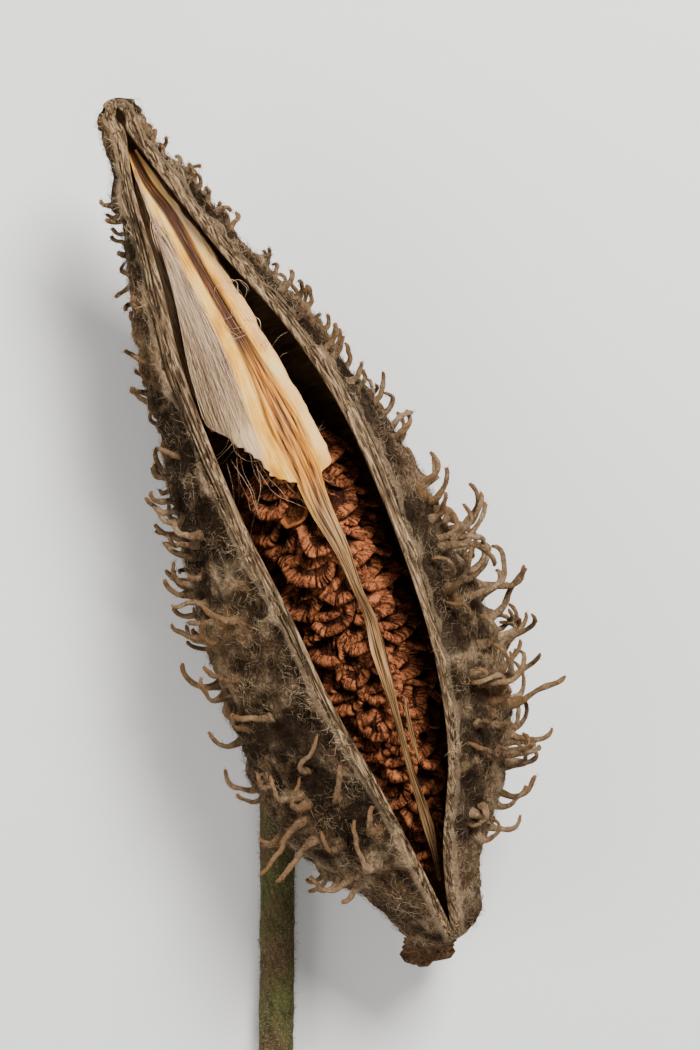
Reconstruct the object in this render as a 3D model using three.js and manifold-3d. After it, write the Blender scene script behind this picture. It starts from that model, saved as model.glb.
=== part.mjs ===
// A dried milkweed seed pod, picked with a piece of its stalk and laid on its back with the split side up.
// The husk is a thin-walled spindle that has split along one side and carries soft hooked spines on its back.
// Inside lie overlapping flat seeds, the papery ribbon that bore them, and the silk bundle of the seeds' floss.
// Millimetres. +Y runs from the base of the pod to its tip, +X to the right of the split, +Z up from the table.
import * as THREE from 'three';
import Module from 'manifold-3d';

const wasm = await Module();
wasm.setup();

// Driving dimensions
const POD_LENGTH = 100;
const POD_WIDTH = 31;
const POD_DEPTH = 25;
const WALL = 1.4;
const BELLY_HEIGHT = 2.4;
const GAP = 0.3;
const SEED = { length: 6.4, width: 4.3, thickness: 0.7, rowPitch: 2.95, slope: 0.36, lift: 0.45 };
const STALK_RADIUS = 2.05;
const PEDICEL_RADIUS = 1.4;
const RIBBON_THICKNESS = 0.5;
const SPINE = { count: 54, sides: 6, steps: 5, rootShare: 0.11, tipRadius: 0.32, sunk: 0.9 };

// The pod's own zero lies on its axis at mid length. This point of it is the part's origin on the table.
const ORIGIN = new THREE.Vector3(-0.86, -3.83, 0);

// Loft resolution
const HUSK_RINGS = 30;
const HUSK_SIDES = 32;

const HALF_LENGTH = POD_LENGTH / 2;
const TURN = Math.PI * 2;
const UP = new THREE.Vector3(0, 0, 1);
const TO_TIP = new THREE.Vector3(0, 1, 0);
const mix = THREE.MathUtils.lerp;
const radians = THREE.MathUtils.degToRad;
const { clamp, smoothstep } = THREE.MathUtils;

// A smooth curve through a few [position, value] points, level outside them.
function profile(points) {
  const slopeAt = (i) => {
    const a = points[Math.max(i - 1, 0)];
    const b = points[Math.min(i + 1, points.length - 1)];
    return (b[1] - a[1]) / (b[0] - a[0]);
  };
  return (s) => {
    const last = points.length - 1;
    if (s <= points[0][0]) return points[0][1];
    if (s >= points[last][0]) return points[last][1];
    const i = points.findIndex((p) => p[0] > s) - 1;
    const span = points[i + 1][0] - points[i][0];
    const t = (s - points[i][0]) / span;
    const ends = (1 + 2 * t) * (1 - t) ** 2 * points[i][1] + t * t * (3 - 2 * t) * points[i + 1][1];
    return ends + span * (t * (1 - t) ** 2 * slopeAt(i) + t * t * (t - 1) * slopeAt(i + 1));
  };
}

// The same with positions as shares of the pod's length from base to tip and values as shares of a size.
function alongPod(size, points) {
  const curve = profile(points);
  return (y) => size * curve(y / POD_LENGTH + 0.5);
}

// Outline of the husk seen from above, and of the split in it
const leftSide = alongPod(POD_WIDTH, [
  [0, -0.02], [0.01, -0.1], [0.04, -0.148], [0.08, -0.213], [0.12, -0.323], [0.16, -0.397], [0.22, -0.439],
  [0.3, -0.439], [0.4, -0.419], [0.5, -0.381], [0.6, -0.316], [0.7, -0.265], [0.8, -0.19], [0.9, -0.126],
  [0.95, -0.087], [0.98, -0.08], [1, -0.04],
]);
const rightSide = alongPod(POD_WIDTH, [
  [0, 0.045], [0.01, 0.116], [0.04, 0.161], [0.08, 0.213], [0.12, 0.329], [0.16, 0.419], [0.22, 0.516],
  [0.3, 0.548], [0.4, 0.558], [0.5, 0.523], [0.6, 0.452], [0.7, 0.361], [0.8, 0.245], [0.9, 0.135],
  [0.95, 0.074], [0.98, 0.06], [1, 0.035],
]);
const SPLIT_START = 0.015;
const SPLIT_END = 0.96;
const leftLip = alongPod(POD_WIDTH, [
  [SPLIT_START, 0.02], [0.1, 0], [0.2, -0.032], [0.3, -0.077], [0.4, -0.097], [0.5, -0.129], [0.6, -0.142],
  [0.7, -0.135], [0.8, -0.09], [0.9, -0.058], [SPLIT_END, -0.013],
]);
const rightLip = alongPod(POD_WIDTH, [
  [SPLIT_START, 0.022], [0.1, 0.097], [0.2, 0.242], [0.3, 0.323], [0.4, 0.355], [0.5, 0.361], [0.6, 0.342],
  [0.7, 0.271], [0.8, 0.155], [0.9, 0.058], [SPLIT_END, 0.007],
]);

// Back and front of the husk seen from the side, as heights above the belly
const back = alongPod(POD_DEPTH, [
  [0, 0.43], [0.01, 0.36], [0.04, 0.288], [0.08, 0.208], [0.12, 0.136], [0.16, 0.084], [0.22, 0.032], [0.3, 0],
  [0.4, 0], [0.5, 0.024], [0.6, 0.088], [0.7, 0.184], [0.8, 0.312], [0.9, 0.464], [0.95, 0.544], [0.98, 0.57],
  [1, 0.62],
]);
const front = alongPod(POD_DEPTH, [
  [0, 0.57], [0.01, 0.64], [0.04, 0.7], [0.08, 0.768], [0.12, 0.832], [0.16, 0.888], [0.22, 0.944],
  [0.3, 0.992], [0.4, 1.008], [0.5, 1], [0.6, 0.976], [0.7, 0.936], [0.8, 0.88], [0.9, 0.816], [0.95, 0.768],
  [0.98, 0.756], [1, 0.72],
]);

// Centre and half sizes of the husk's oval section at y, with its wall moved in by inset
const LEAST_SIZE = 0.05;
function huskSection(y, inset = 0) {
  return {
    x: (leftSide(y) + rightSide(y)) / 2,
    z: BELLY_HEIGHT + (back(y) + front(y)) / 2,
    halfWidth: Math.max((rightSide(y) - leftSide(y)) / 2 - inset, LEAST_SIZE),
    halfHeight: Math.max((front(y) - back(y)) / 2 - inset, LEAST_SIZE),
  };
}

// Point of an oval section, with angle 0 at the front and a quarter turn at the right
function onSection({ x, z, halfWidth, halfHeight }, y, angle) {
  return new THREE.Vector3(x + halfWidth * Math.sin(angle), y, z + halfHeight * Math.cos(angle));
}

function huskPoint(y, angle) {
  return onSection(huskSection(y), y, angle);
}

// Outward normal of the husk at y and angle, from small steps along it and round it
function huskNormal(y, angle) {
  const step = { y: 0.5, angle: 0.05 };
  const lengthwise = huskPoint(y + step.y, angle).sub(huskPoint(y - step.y, angle));
  const around = huskPoint(y, angle + step.angle).sub(huskPoint(y, angle - step.angle));
  return around.cross(lengthwise).normalize();
}

// Angle round the husk at which a lip of the split stands
function lipAngle(lip, y) {
  const { x, halfWidth } = huskSection(y);
  return Math.asin(clamp((lip(y) - x) / halfWidth, -1, 1));
}

// Closed solid through rings of equally many points, with a fan on each end
function loft(rings) {
  const sides = rings[0].length;
  const points = rings.flat();
  const index = [];
  for (let r = 0; r + 1 < rings.length; r++) {
    for (let s = 0; s < sides; s++) {
      const a = r * sides + s;
      const b = r * sides + ((s + 1) % sides);
      index.push(a, b, b + sides, a, b + sides, a + sides);
    }
  }
  for (const [ring, first, flip] of [[rings[0], 0, true], [rings.at(-1), (rings.length - 1) * sides, false]]) {
    const middle = ring.reduce((sum, p) => sum.add(p), new THREE.Vector3()).divideScalar(sides);
    points.push(middle);
    for (let s = 0; s < sides; s++) {
      const edge = [first + s, first + ((s + 1) % sides)];
      index.push(points.length - 1, ...(flip ? edge.reverse() : edge));
    }
  }
  const geometry = new THREE.BufferGeometry().setFromPoints(points);
  geometry.setIndex(signedVolume(points, index) < 0 ? index.reverse() : index);
  return geometry;
}

function signedVolume(points, index) {
  let sum = 0;
  for (let i = 0; i < index.length; i += 3) {
    const [a, b, c] = [points[index[i]], points[index[i + 1]], points[index[i + 2]]];
    sum += a.dot(new THREE.Vector3().crossVectors(b, c)) / 6;
  }
  return sum;
}

// Round tube through points, with one radius for each point
function tube(points, radii, sides) {
  let tangent = points[1].clone().sub(points[0]).normalize();
  const normal = new THREE.Vector3().crossVectors(tangent, Math.abs(tangent.z) < 0.9 ? UP : TO_TIP).normalize();
  const rings = points.map((point, i) => {
    const next = points[Math.min(i + 1, points.length - 1)];
    const before = points[Math.max(i - 1, 0)];
    const turned = next.clone().sub(before).normalize();
    normal.applyQuaternion(new THREE.Quaternion().setFromUnitVectors(tangent, turned));
    tangent = turned;
    const side = new THREE.Vector3().crossVectors(tangent, normal);
    return Array.from({ length: sides }, (_, s) => {
      const angle = (s / sides) * TURN;
      return point.clone()
        .addScaledVector(normal, radii[i] * Math.cos(angle))
        .addScaledVector(side, radii[i] * Math.sin(angle));
    });
  });
  return loft(rings);
}

function solidOf(geometry) {
  return new wasm.Manifold(new wasm.Mesh({
    numProp: 3,
    vertProperties: new Float32Array(geometry.getAttribute('position').array),
    triVerts: new Uint32Array(geometry.index.array),
  }));
}

function geometryOf(solid) {
  const { vertProperties, triVerts } = solid.getMesh();
  const geometry = new THREE.BufferGeometry();
  geometry.setAttribute('position', new THREE.BufferAttribute(vertProperties, 3));
  return geometry.setIndex(new THREE.BufferAttribute(triVerts, 1));
}

// Husk: a spindle with its inside and its split cut away, and spines joined to its back
function spindle(inset) {
  const end = HALF_LENGTH - inset;
  return loft(Array.from({ length: HUSK_RINGS }, (_, r) => {
    const y = -end * Math.cos((r / (HUSK_RINGS - 1)) * Math.PI);
    const section = huskSection(y, inset);
    return Array.from({ length: HUSK_SIDES }, (_, s) => onSection(section, y, (s / HUSK_SIDES) * TURN));
  }));
}

// Upright block with the outline of the split, from the husk's middle height to well above it
function splitCutter() {
  const steps = 28;
  const places = Array.from({ length: steps + 1 }, (_, i) => {
    const share = mix(SPLIT_START, SPLIT_END, i / steps);
    return (share - 0.5) * POD_LENGTH;
  });
  const outline = places.map((y) => new THREE.Vector3(rightLip(y), y, 0));
  outline.push(...places.toReversed().map((y) => new THREE.Vector3(leftLip(y), y, 0)));
  const low = outline.map((p) => p.clone().setZ(huskSection(p.y).z));
  const high = outline.map((p) => p.clone().setZ(BELLY_HEIGHT + 2 * POD_DEPTH));
  return loft([low, high]);
}

// Share i of an even, never repeating spread over 0 to 1
const EVEN_A = 0.7548776662466927;
const EVEN_B = 0.5698402909980532;
const evenShare = (i, step) => (0.5 + i * step) % 1;

const spineLength = profile([[-45, 3.5], [-30, 7.5], [-10, 8], [2, 5.5], [15, 3.6], [30, 2.4], [46, 1.6]]);
const SPINE_AREA = { from: -39, to: 42, edge: 0.15 };

// The stalk runs under the left of the pod's lower end, where no spine stands
const OVER_STALK = { below: -14, from: radians(180), to: radians(262) };
function overStalk(y, angle) {
  return y < OVER_STALK.below && angle > OVER_STALK.from && angle < OVER_STALK.to;
}

// A spine leaves the husk square to it and hooks over towards the tip. On the table it bends flat.
// The hook's bends are [outwards, towards the tip] as shares of the spine's length.
const HOOK = [[0.5, -0.05], [0.95, 0.1], [0.8, 0.6]];
function spine(y, angle, length) {
  const out = huskNormal(y, angle);
  const root = huskPoint(y, angle).addScaledVector(out, -SPINE.sunk);
  const bends = HOOK.map(([outward, tipward]) => root.clone()
    .addScaledVector(out, SPINE.sunk + length * outward)
    .addScaledVector(TO_TIP, length * tipward));
  const points = new THREE.CubicBezierCurve3(root, ...bends).getPoints(SPINE.steps);
  const radii = points.map((_, i) => mix(length * SPINE.rootShare, SPINE.tipRadius, i / SPINE.steps));
  points.forEach((p, i) => p.setZ(Math.max(p.z, radii[i])));
  return tube(points, radii, SPINE.sides);
}

// Spines that the pod rests on, as [y, degrees round the husk from the front]. They reach down and bend out.
const FEET = [[-26, 148], [-13, 150], [0, 153], [12, 160], [-6, 212], [6, 206], [16, 190]];
const FOOT = { radii: [0.9, 0.7, 0.55, 0.55], run: 2.6 };

function foot(y, degrees) {
  const angle = radians(degrees);
  const out = huskNormal(y, angle);
  const top = huskPoint(y, angle);
  const reach = (top.z - FOOT.radii.at(-1)) / -out.z;
  const heel = top.clone().addScaledVector(out, reach);
  const away = new THREE.Vector3(out.x, out.y, 0).normalize();
  const points = [
    top.clone().addScaledVector(out, -SPINE.sunk),
    top.clone().addScaledVector(out, reach * 0.5),
    heel,
    heel.clone().addScaledVector(away, FOOT.run),
  ];
  return tube(points, FOOT.radii, SPINE.sides);
}

function scatteredSpines() {
  const made = [];
  for (let i = 0; i < SPINE.count; i++) {
    const y = mix(SPINE_AREA.from, SPINE_AREA.to, evenShare(i, EVEN_A));
    const around = mix(SPINE_AREA.edge, 1 - SPINE_AREA.edge, evenShare(i, EVEN_B));
    const angle = mix(lipAngle(rightLip, y), TURN + lipAngle(leftLip, y), around);
    if (!overStalk(y, angle)) made.push(spine(y, angle, spineLength(y)));
  }
  return made;
}

function husk() {
  const hollow = solidOf(spindle(WALL));
  let shell = solidOf(spindle(0)).subtract(hollow).subtract(solidOf(splitCutter()));
  const spines = [...FEET.map(([y, degrees]) => foot(y, degrees)), ...scatteredSpines()];
  for (const one of spines) {
    shell = shell.add(solidOf(one).subtract(hollow));
  }
  return geometryOf(shell);
}

// Seeds lie like shingles on an oval core. Their round ends point to the base and lift clear of the next row.
const core = {
  x: profile([[-41, 1.4], [-35, 2.2], [-28, 2.8], [-20, 3], [-10, 3.2], [0, 3.4], [8, 3.6], [13, 3.4]]),
  halfWidth: profile([
    [-41, 0.5], [-35, 1.8], [-28, 3.2], [-20, 4.2], [-10, 4.5], [0, 4.3], [8, 3.6], [13, 2.4],
  ]),
  halfHeight: profile([[-41, 1], [-35, 3.2], [-28, 5], [-20, 6.2], [-10, 6.5], [0, 6.2], [8, 5], [13, 3.2]]),
};
const LAYER = SEED.lift + SEED.slope * SEED.length + SEED.thickness / 2;

// The core stands clear of the husk's inside by the thickness of one seed layer
function coreZ(y) {
  return BELLY_HEIGHT + back(y) + WALL + GAP + core.halfHeight(y) + LAYER;
}

// Point at an angle round the core and a height above it
function aboveCore(y, angle, height) {
  const section = {
    x: core.x(y), z: coreZ(y), halfWidth: core.halfWidth(y) + height, halfHeight: core.halfHeight(y) + height,
  };
  return onSection(section, y, angle);
}

// Mean radius of the seed layer at y, which turns a width into an angle round the core
function layerRadius(y) {
  return (core.halfWidth(y) + core.halfHeight(y) + LAYER) / 2;
}

const seedHalfWidth = profile([[0, 0.3], [0.2, 0.72], [0.55, 1], [0.85, 0.86], [1, 0.42]]);

function seed(rowY, angle) {
  const rings = 7;
  const sides = 6;
  const around = layerRadius(rowY);
  return loft(Array.from({ length: rings }, (_, r) => {
    const share = r / (rings - 1);
    const y = rowY + SEED.length * (0.5 - share);
    const halfWidth = (SEED.width / 2) * seedHalfWidth(share);
    const height = SEED.lift + SEED.slope * SEED.length * share;
    return Array.from({ length: sides }, (_, s) => {
      const turn = ((s + 0.5) / sides) * TURN;
      const across = (halfWidth * Math.cos(turn)) / around;
      return aboveCore(y, angle + across, height + (SEED.thickness / 2) * Math.sin(turn));
    });
  }));
}

// Rows from the tip side to the base, each set off by half a seed from the one before
const SEED_ROWS = { from: 7.5, to: -37.2, left: radians(-55), right: radians(62) };

function seeds() {
  const made = [];
  for (let row = 0, y = SEED_ROWS.from; y >= SEED_ROWS.to; row++, y -= SEED.rowPitch) {
    const step = (SEED.width + GAP) / layerRadius(y);
    const first = SEED_ROWS.left + (row % 2) * step * 0.5;
    for (let angle = first; angle <= SEED_ROWS.right; angle += step) made.push(seed(y, angle));
  }
  return made;
}

// The deeper seeds under and behind the shingled ones, as one packed body
const DEEP = { from: -40.5, to: 12.5, sunk: 0.2, backStarts: 0.25, backFull: 0.8, leastRadius: 0.3 };

function innerSeeds() {
  const rings = 16;
  const sides = 20;
  return loft(Array.from({ length: rings }, (_, r) => {
    const y = mix(DEEP.from, DEEP.to, r / (rings - 1));
    return Array.from({ length: sides }, (_, s) => {
      const angle = (s / sides) * TURN;
      const atBack = smoothstep(-Math.cos(angle), DEEP.backStarts, DEEP.backFull);
      const height = mix(-DEEP.sunk, Math.min(LAYER, core.halfHeight(y)) - GAP, atBack);
      return aboveCore(y, angle, Math.max(height, DEEP.leastRadius - core.halfWidth(y)));
    });
  }));
}

// Papery ribbon that bore the seeds: two broad wings over the silk, then a narrow strip over the seeds
const ribbonLeft = profile([
  [-43, 1.2], [-35, 2.3], [-25, 3.2], [-15, 4.1], [-10, 4.3], [-5, 4.1], [0, 3.4], [3, 2.9], [4, 1.2],
  [8, -0.6], [12, -1.8], [20, -2.6], [30, -1.9], [38, -0.9], [44, -0.4],
]);
const ribbonRight = profile([
  [-43, 1.8], [-35, 2.9], [-25, 4], [-15, 5.3], [-10, 5.5], [-5, 5.6], [0, 5.4], [3, 5.7], [4, 7.2], [8, 7.1],
  [12, 6.7], [20, 5.6], [30, 3.8], [38, 1.7], [44, 0.4],
]);
const RIBBON_ENDS = [-43, 44];
const WING_DROOP = 0.055;
const wingCrestX = profile([[4, 4.2], [44, 0.4]]);
const wingCrest = profile([[4, 21], [12, 20.3], [20, 19.7], [30, 19.1], [38, 18.5], [44, 17.9]]);

// The strip lies just above the seeds. From y 2 to 7 it passes into the wings, which droop to both sides.
// The wings' crest is a height above the belly.
function ribbonZ(x, y) {
  const reach = LAYER + GAP + RIBBON_THICKNESS / 2;
  const across = clamp((x - core.x(y)) / (core.halfWidth(y) + reach), -1, 1);
  const overSeeds = coreZ(y) + (core.halfHeight(y) + reach) * Math.sqrt(1 - across ** 2);
  const wing = BELLY_HEIGHT + wingCrest(y) - WING_DROOP * (x - wingCrestX(y)) ** 2;
  return mix(overSeeds, wing, smoothstep(y, 2, 7));
}

function ribbon() {
  const rings = 36;
  const across = 5;
  return loft(Array.from({ length: rings }, (_, r) => {
    const y = mix(...RIBBON_ENDS, r / (rings - 1));
    const edge = Array.from({ length: across }, (_, c) => {
      const x = mix(ribbonLeft(y), ribbonRight(y), c / (across - 1));
      return new THREE.Vector3(x, y, ribbonZ(x, y));
    });
    const top = edge.map((p) => p.clone().setZ(p.z + RIBBON_THICKNESS / 2));
    const bottom = edge.map((p) => p.clone().setZ(p.z - RIBBON_THICKNESS / 2));
    return [...top, ...bottom.reverse()];
  }));
}

// Silk bundle: the floss of all the seeds, drawn together towards the tip. Its height is above the belly.
const SILK_ENDS = [14, 43];
const silk = {
  x: profile([[14, 1.4], [20, 0.8], [30, 0.4], [40, 0], [43, -0.1]]),
  height: profile([[14, 11.9], [20, 12.9], [30, 14.7], [40, 15.9], [43, 16.3]]),
  halfWidth: profile([[14, 5], [20, 4.9], [30, 3.6], [40, 1.6], [43, 0.5]]),
  halfHeight: profile([[14, 5.6], [20, 5.2], [30, 3.4], [40, 1.4], [43, 0.5]]),
};

function floss() {
  const rings = 14;
  const sides = 20;
  return loft(Array.from({ length: rings }, (_, r) => {
    const y = mix(...SILK_ENDS, r / (rings - 1));
    const z = BELLY_HEIGHT + silk.height(y);
    const section = { x: silk.x(y), z, halfWidth: silk.halfWidth(y), halfHeight: silk.halfHeight(y) };
    return Array.from({ length: sides }, (_, s) => onSection(section, y, (s / sides) * TURN));
  }));
}

// Stalk: a straight cut piece on the table, and the bent pedicel that carries the pod's base
const BASE_JOIN = new THREE.Vector3(-1, -48.4, 9.4);
const STALK_END = new THREE.Vector3(-24, -56.9, STALK_RADIUS);
const STALK_TOP = new THREE.Vector3(-11.2, -25.3, STALK_RADIUS);
const PEDICEL_BENDS = [
  [-10.4, -23.2, 2.1], [-8.6, -21.8, 2.1], [-6.8, -23.6, 2], [-5.6, -28.5, 1.8], [-4.2, -35, 2.1],
  [-2.7, -42, 4], [-1.5, -46.6, 7],
].map((p) => new THREE.Vector3(...p));

// Cut end, straight run and rounded upper end of the stalk, as [place on the way up it, share of its radius]
const STALK_RUN = [[0, 1], [0.33, 1], [0.67, 1], [1, 1], [1.04, 0.93], [1.07, 0.75], [1.085, 0.4]];

function stalk() {
  const points = STALK_RUN.map(([place]) => STALK_END.clone().lerp(STALK_TOP, place));
  const thick = tube(points, STALK_RUN.map(([, share]) => share * STALK_RADIUS), 14);
  const bend = new THREE.CatmullRomCurve3([...points.slice(2, 4), ...PEDICEL_BENDS, BASE_JOIN]).getPoints(34);
  const thin = tube(bend, bend.map(() => PEDICEL_RADIUS), 10);
  return geometryOf(solidOf(thick).add(solidOf(thin)));
}

// Five dry sepals around the join, curling away from the pod
const SEPALS = { count: 5, firstTurn: 0.15, reach: 3.5, droop: 2.2, below: 1.45, width: 2.4, thickness: 0.4 };
const JOIN_AXIS = new THREE.Vector3(0.08, -0.36, 0.92).normalize();
const sepalWidth = profile([[0, 0.55], [0.3, 0.92], [0.6, 0.75], [1, 0.25]]);

function sepal(number) {
  const side = new THREE.Vector3(1, 0, 0).projectOnPlane(JOIN_AXIS).normalize();
  side.applyAxisAngle(JOIN_AXIS, (SEPALS.firstTurn + number / SEPALS.count) * TURN);
  const across = new THREE.Vector3().crossVectors(JOIN_AXIS, side);
  const rings = 5;
  return loft(Array.from({ length: rings }, (_, r) => {
    const share = r / (rings - 1);
    const middle = BASE_JOIN.clone()
      .addScaledVector(side, PEDICEL_RADIUS + GAP * 2 + SEPALS.reach * share)
      .addScaledVector(JOIN_AXIS, -SEPALS.below - SEPALS.droop * share ** 1.5);
    return [[-1, 0], [0, 1], [1, 0], [0, -1]].map(([sideways, over]) => middle.clone()
      .addScaledVector(across, (sideways * SEPALS.width * sepalWidth(share)) / 2)
      .addScaledVector(JOIN_AXIS, (over * SEPALS.thickness) / 2));
  }));
}

// Dry plant finishes
const FINISH = {
  husk: { color: 0x8d8072, roughness: 0.95 },
  seed: { color: 0x6b3a22, roughness: 0.7 },
  ribbon: { color: 0xd9bd85, roughness: 0.75 },
  silk: { color: 0xece3cf, roughness: 0.5 },
  stalk: { color: 0x6d6a4a, roughness: 0.9 },
  sepal: { color: 0x6e543b, roughness: 0.95 },
};

function piece(name, geometry, finish) {
  geometry.computeVertexNormals();
  const mesh = new THREE.Mesh(geometry, new THREE.MeshStandardMaterial({ ...finish, metalness: 0 }));
  mesh.name = name;
  return mesh;
}

const numbered = (name, i) => `${name}_${String(i + 1).padStart(2, '0')}`;

const pod = new THREE.Group();
pod.position.copy(ORIGIN).negate();
pod.add(
  piece('husk', husk(), FINISH.husk),
  piece('inner_seeds', innerSeeds(), FINISH.seed),
  ...seeds().map((geometry, i) => piece(numbered('seed', i), geometry, FINISH.seed)),
  piece('seed_ribbon', ribbon(), FINISH.ribbon),
  piece('silk_floss', floss(), FINISH.silk),
  piece('stalk', stalk(), FINISH.stalk),
  ...Array.from({ length: SEPALS.count }, (_, i) => piece(numbered('sepal', i), sepal(i), FINISH.sepal)),
);

const part = new THREE.Group();
part.add(pod);

export default part;
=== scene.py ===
"""Looks of a dried milkweed pod that lies on its back with its split side up.

Shapes are worked out in millimetres in the pod's own frame: +Y from the base to the tip, +X to the right of
the split and +Z up from the table. They turn into metres in the part's frame when a mesh is made.
"""
import logging
import math
from dataclasses import dataclass, field
from enum import Enum

import bpy
import numpy as np
from mathutils import Euler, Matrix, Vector


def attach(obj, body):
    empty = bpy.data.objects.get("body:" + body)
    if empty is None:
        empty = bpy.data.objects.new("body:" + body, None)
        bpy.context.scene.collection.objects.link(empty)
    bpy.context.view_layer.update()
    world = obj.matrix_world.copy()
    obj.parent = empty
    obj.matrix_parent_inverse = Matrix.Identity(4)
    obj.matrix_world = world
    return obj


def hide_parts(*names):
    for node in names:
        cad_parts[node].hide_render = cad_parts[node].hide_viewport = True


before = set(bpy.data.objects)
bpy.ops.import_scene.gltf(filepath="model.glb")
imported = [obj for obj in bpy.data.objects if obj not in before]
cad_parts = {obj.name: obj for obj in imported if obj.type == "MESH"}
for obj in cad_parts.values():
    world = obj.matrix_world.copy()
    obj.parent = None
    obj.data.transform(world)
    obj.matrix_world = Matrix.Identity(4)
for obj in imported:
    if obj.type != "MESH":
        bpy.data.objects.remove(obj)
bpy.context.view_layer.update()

logging.basicConfig(level=logging.INFO, format="%(message)s")
log = logging.getLogger("milkweed_pod")

MM = 0.001
ORIGIN = np.array((-0.86, -3.83, 0.0))
TURN = 2.0 * math.pi
TO_TIP = np.array((0.0, 1.0, 0.0))
UP = np.array((0.0, 0.0, 1.0))
BODY = "root"
# Length of the pod, and the width and depth that its outlines are shares of.
POD_LENGTH = 100.0
WIDTH = 31.0
DEPTH = 25.0
# Smallest and largest radius of the fine hairs, and how far they stay above the table.
HAIR = (0.02, 0.034)
HAIR_CLEAR = 0.04
# Steps that spread places evenly along and around the pod, without a row showing.
STEP_ALONG = 0.7548776662466927
STEP_AROUND = 0.5698402909980532

Pair = tuple[float, float]
Pairs = tuple[Pair, ...]
Triple = tuple[float, float, float]
Colour = Triple
Array = np.ndarray
Number = float | Array
Piece = bpy.types.Object
Material = bpy.types.Material
Socket = bpy.types.NodeSocket
Paint = Socket | Colour | float

EVEN: Triple = (1.0, 1.0, 1.0)


def tint(red: int, green: int, blue: int) -> Colour:
    """Turns display values from 0 to 255 into the linear colour that a shader takes."""
    shares = [value / 255.0 for value in (red, green, blue)]
    return tuple(s / 12.92 if s <= 0.04045 else ((s + 0.055) / 1.055) ** 2.4 for s in shares)


def mix(a: Number, b: Number, share: Number) -> Number:
    """Goes from a to b by a share from 0 to 1."""
    return a + (b - a) * share


def smooth_step(value: Number, low: Number, high: Number) -> Number:
    """Rises smoothly from 0 at low to 1 at high."""
    t = np.clip((value - low) / (high - low), 0.0, 1.0)
    return t * t * (3.0 - 2.0 * t)


def hump(value: Number, middle: float, width: float) -> Number:
    """Gives a rounded hill of height 1 around middle."""
    return np.exp(-(((value - middle) / width) ** 2))


def unit(vectors: Array) -> Array:
    """Scales vectors in the last axis to length 1."""
    return vectors / np.maximum(np.linalg.norm(vectors, axis=-1, keepdims=True), 1e-9)


def xyz(x: Number, y: Number, z: Number) -> Array:
    """Joins three coordinates, spread to one shape, into places in the last axis."""
    return np.stack(np.broadcast_arrays(x, y, z), axis=-1)


def capped(values: Array, first: float = 0.0, last: float = 0.0) -> Array:
    """Adds the numbers of a closed tube's two end points to those of its rings."""
    return np.append(values, (first, last))


@dataclass(frozen=True)
class Profile:
    """A smooth curve through three or more (position, value) points, level outside them."""

    points: Pairs

    def __call__(self, position: Number) -> Array:
        """Reads the curve.

        Args:
            position: One place or an array of places along the curve.

        Returns:
            The values there, in the same shape.
        """
        at, value = np.array(self.points, dtype=float).T
        slope = np.empty_like(value)
        slope[1:-1] = (value[2:] - value[:-2]) / (at[2:] - at[:-2])
        slope[0] = (value[1] - value[0]) / (at[1] - at[0])
        slope[-1] = (value[-1] - value[-2]) / (at[-1] - at[-2])
        place = np.asarray(position, dtype=float)
        i = np.clip(np.searchsorted(at, place, side="right") - 1, 0, len(at) - 2)
        span = at[i + 1] - at[i]
        t = np.clip((place - at[i]) / span, 0.0, 1.0)
        ends = (1 + 2 * t) * (1 - t) ** 2 * value[i] + t * t * (3 - 2 * t) * value[i + 1]
        return ends + span * (t * (1 - t) ** 2 * slope[i] + t * t * (t - 1) * slope[i + 1])


def along_pod(size: float, *points: Pair) -> Profile:
    """Makes a profile over y from (share of the pod's length, share of a size) points."""
    return Profile(tuple(((share - 0.5) * POD_LENGTH, size * value) for share, value in points))


@dataclass(frozen=True)
class Grain:
    """Smooth seeded noise in space, from about -1 to 1."""

    seed: int

    def _corner(self, cell: Array) -> Array:
        """Gives each cell of a lattice its own number.

        Args:
            cell: Whole-number places, in the last axis.

        Returns:
            A number from -1 to 1 for each cell, always the same for the same seed.
        """
        x, y, z = (cell[..., k].astype(np.uint32) for k in range(3))
        n = x * np.uint32(374761393) + y * np.uint32(668265263) + z * np.uint32(2246822519)
        n = n + np.uint32(self.seed * 977 + 13)
        n = (n ^ (n >> np.uint32(13))) * np.uint32(1274126177)
        n = (n ^ (n >> np.uint32(15))) * np.uint32(2654435761)
        return ((n ^ (n >> np.uint32(16))) & np.uint32(0xFFFF)) / 32767.5 - 1.0

    def __call__(self, points: Array, size: float | Triple, octaves: int = 1) -> Array:
        """Reads the noise.

        Args:
            points: Places in millimetres, in the last axis.
            size: Width of one lump in millimetres, or three widths for X, Y and Z.
            octaves: How many layers to add, each half as wide and half as strong as the one before.

        Returns:
            One value for each place.
        """
        total = np.zeros(np.shape(points)[:-1])
        scaled = np.asarray(points, dtype=float) / np.asarray(size, dtype=float)
        for layer in range(octaves):
            place = scaled * 2.0 ** layer + layer * 17.3
            cell = np.floor(place).astype(np.int64)
            f = place - cell
            f = f * f * f * (f * (f * 6.0 - 15.0) + 10.0)
            near = [(1 - f[..., k], f[..., k]) for k in range(3)]
            value = np.zeros_like(total)
            for dx, dy, dz in np.ndindex(2, 2, 2):
                weight = near[0][dx] * near[1][dy] * near[2][dz]
                value += weight * self._corner(cell + np.array((dx, dy, dz)))
            total += value * 0.5 ** layer
        return total


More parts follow.
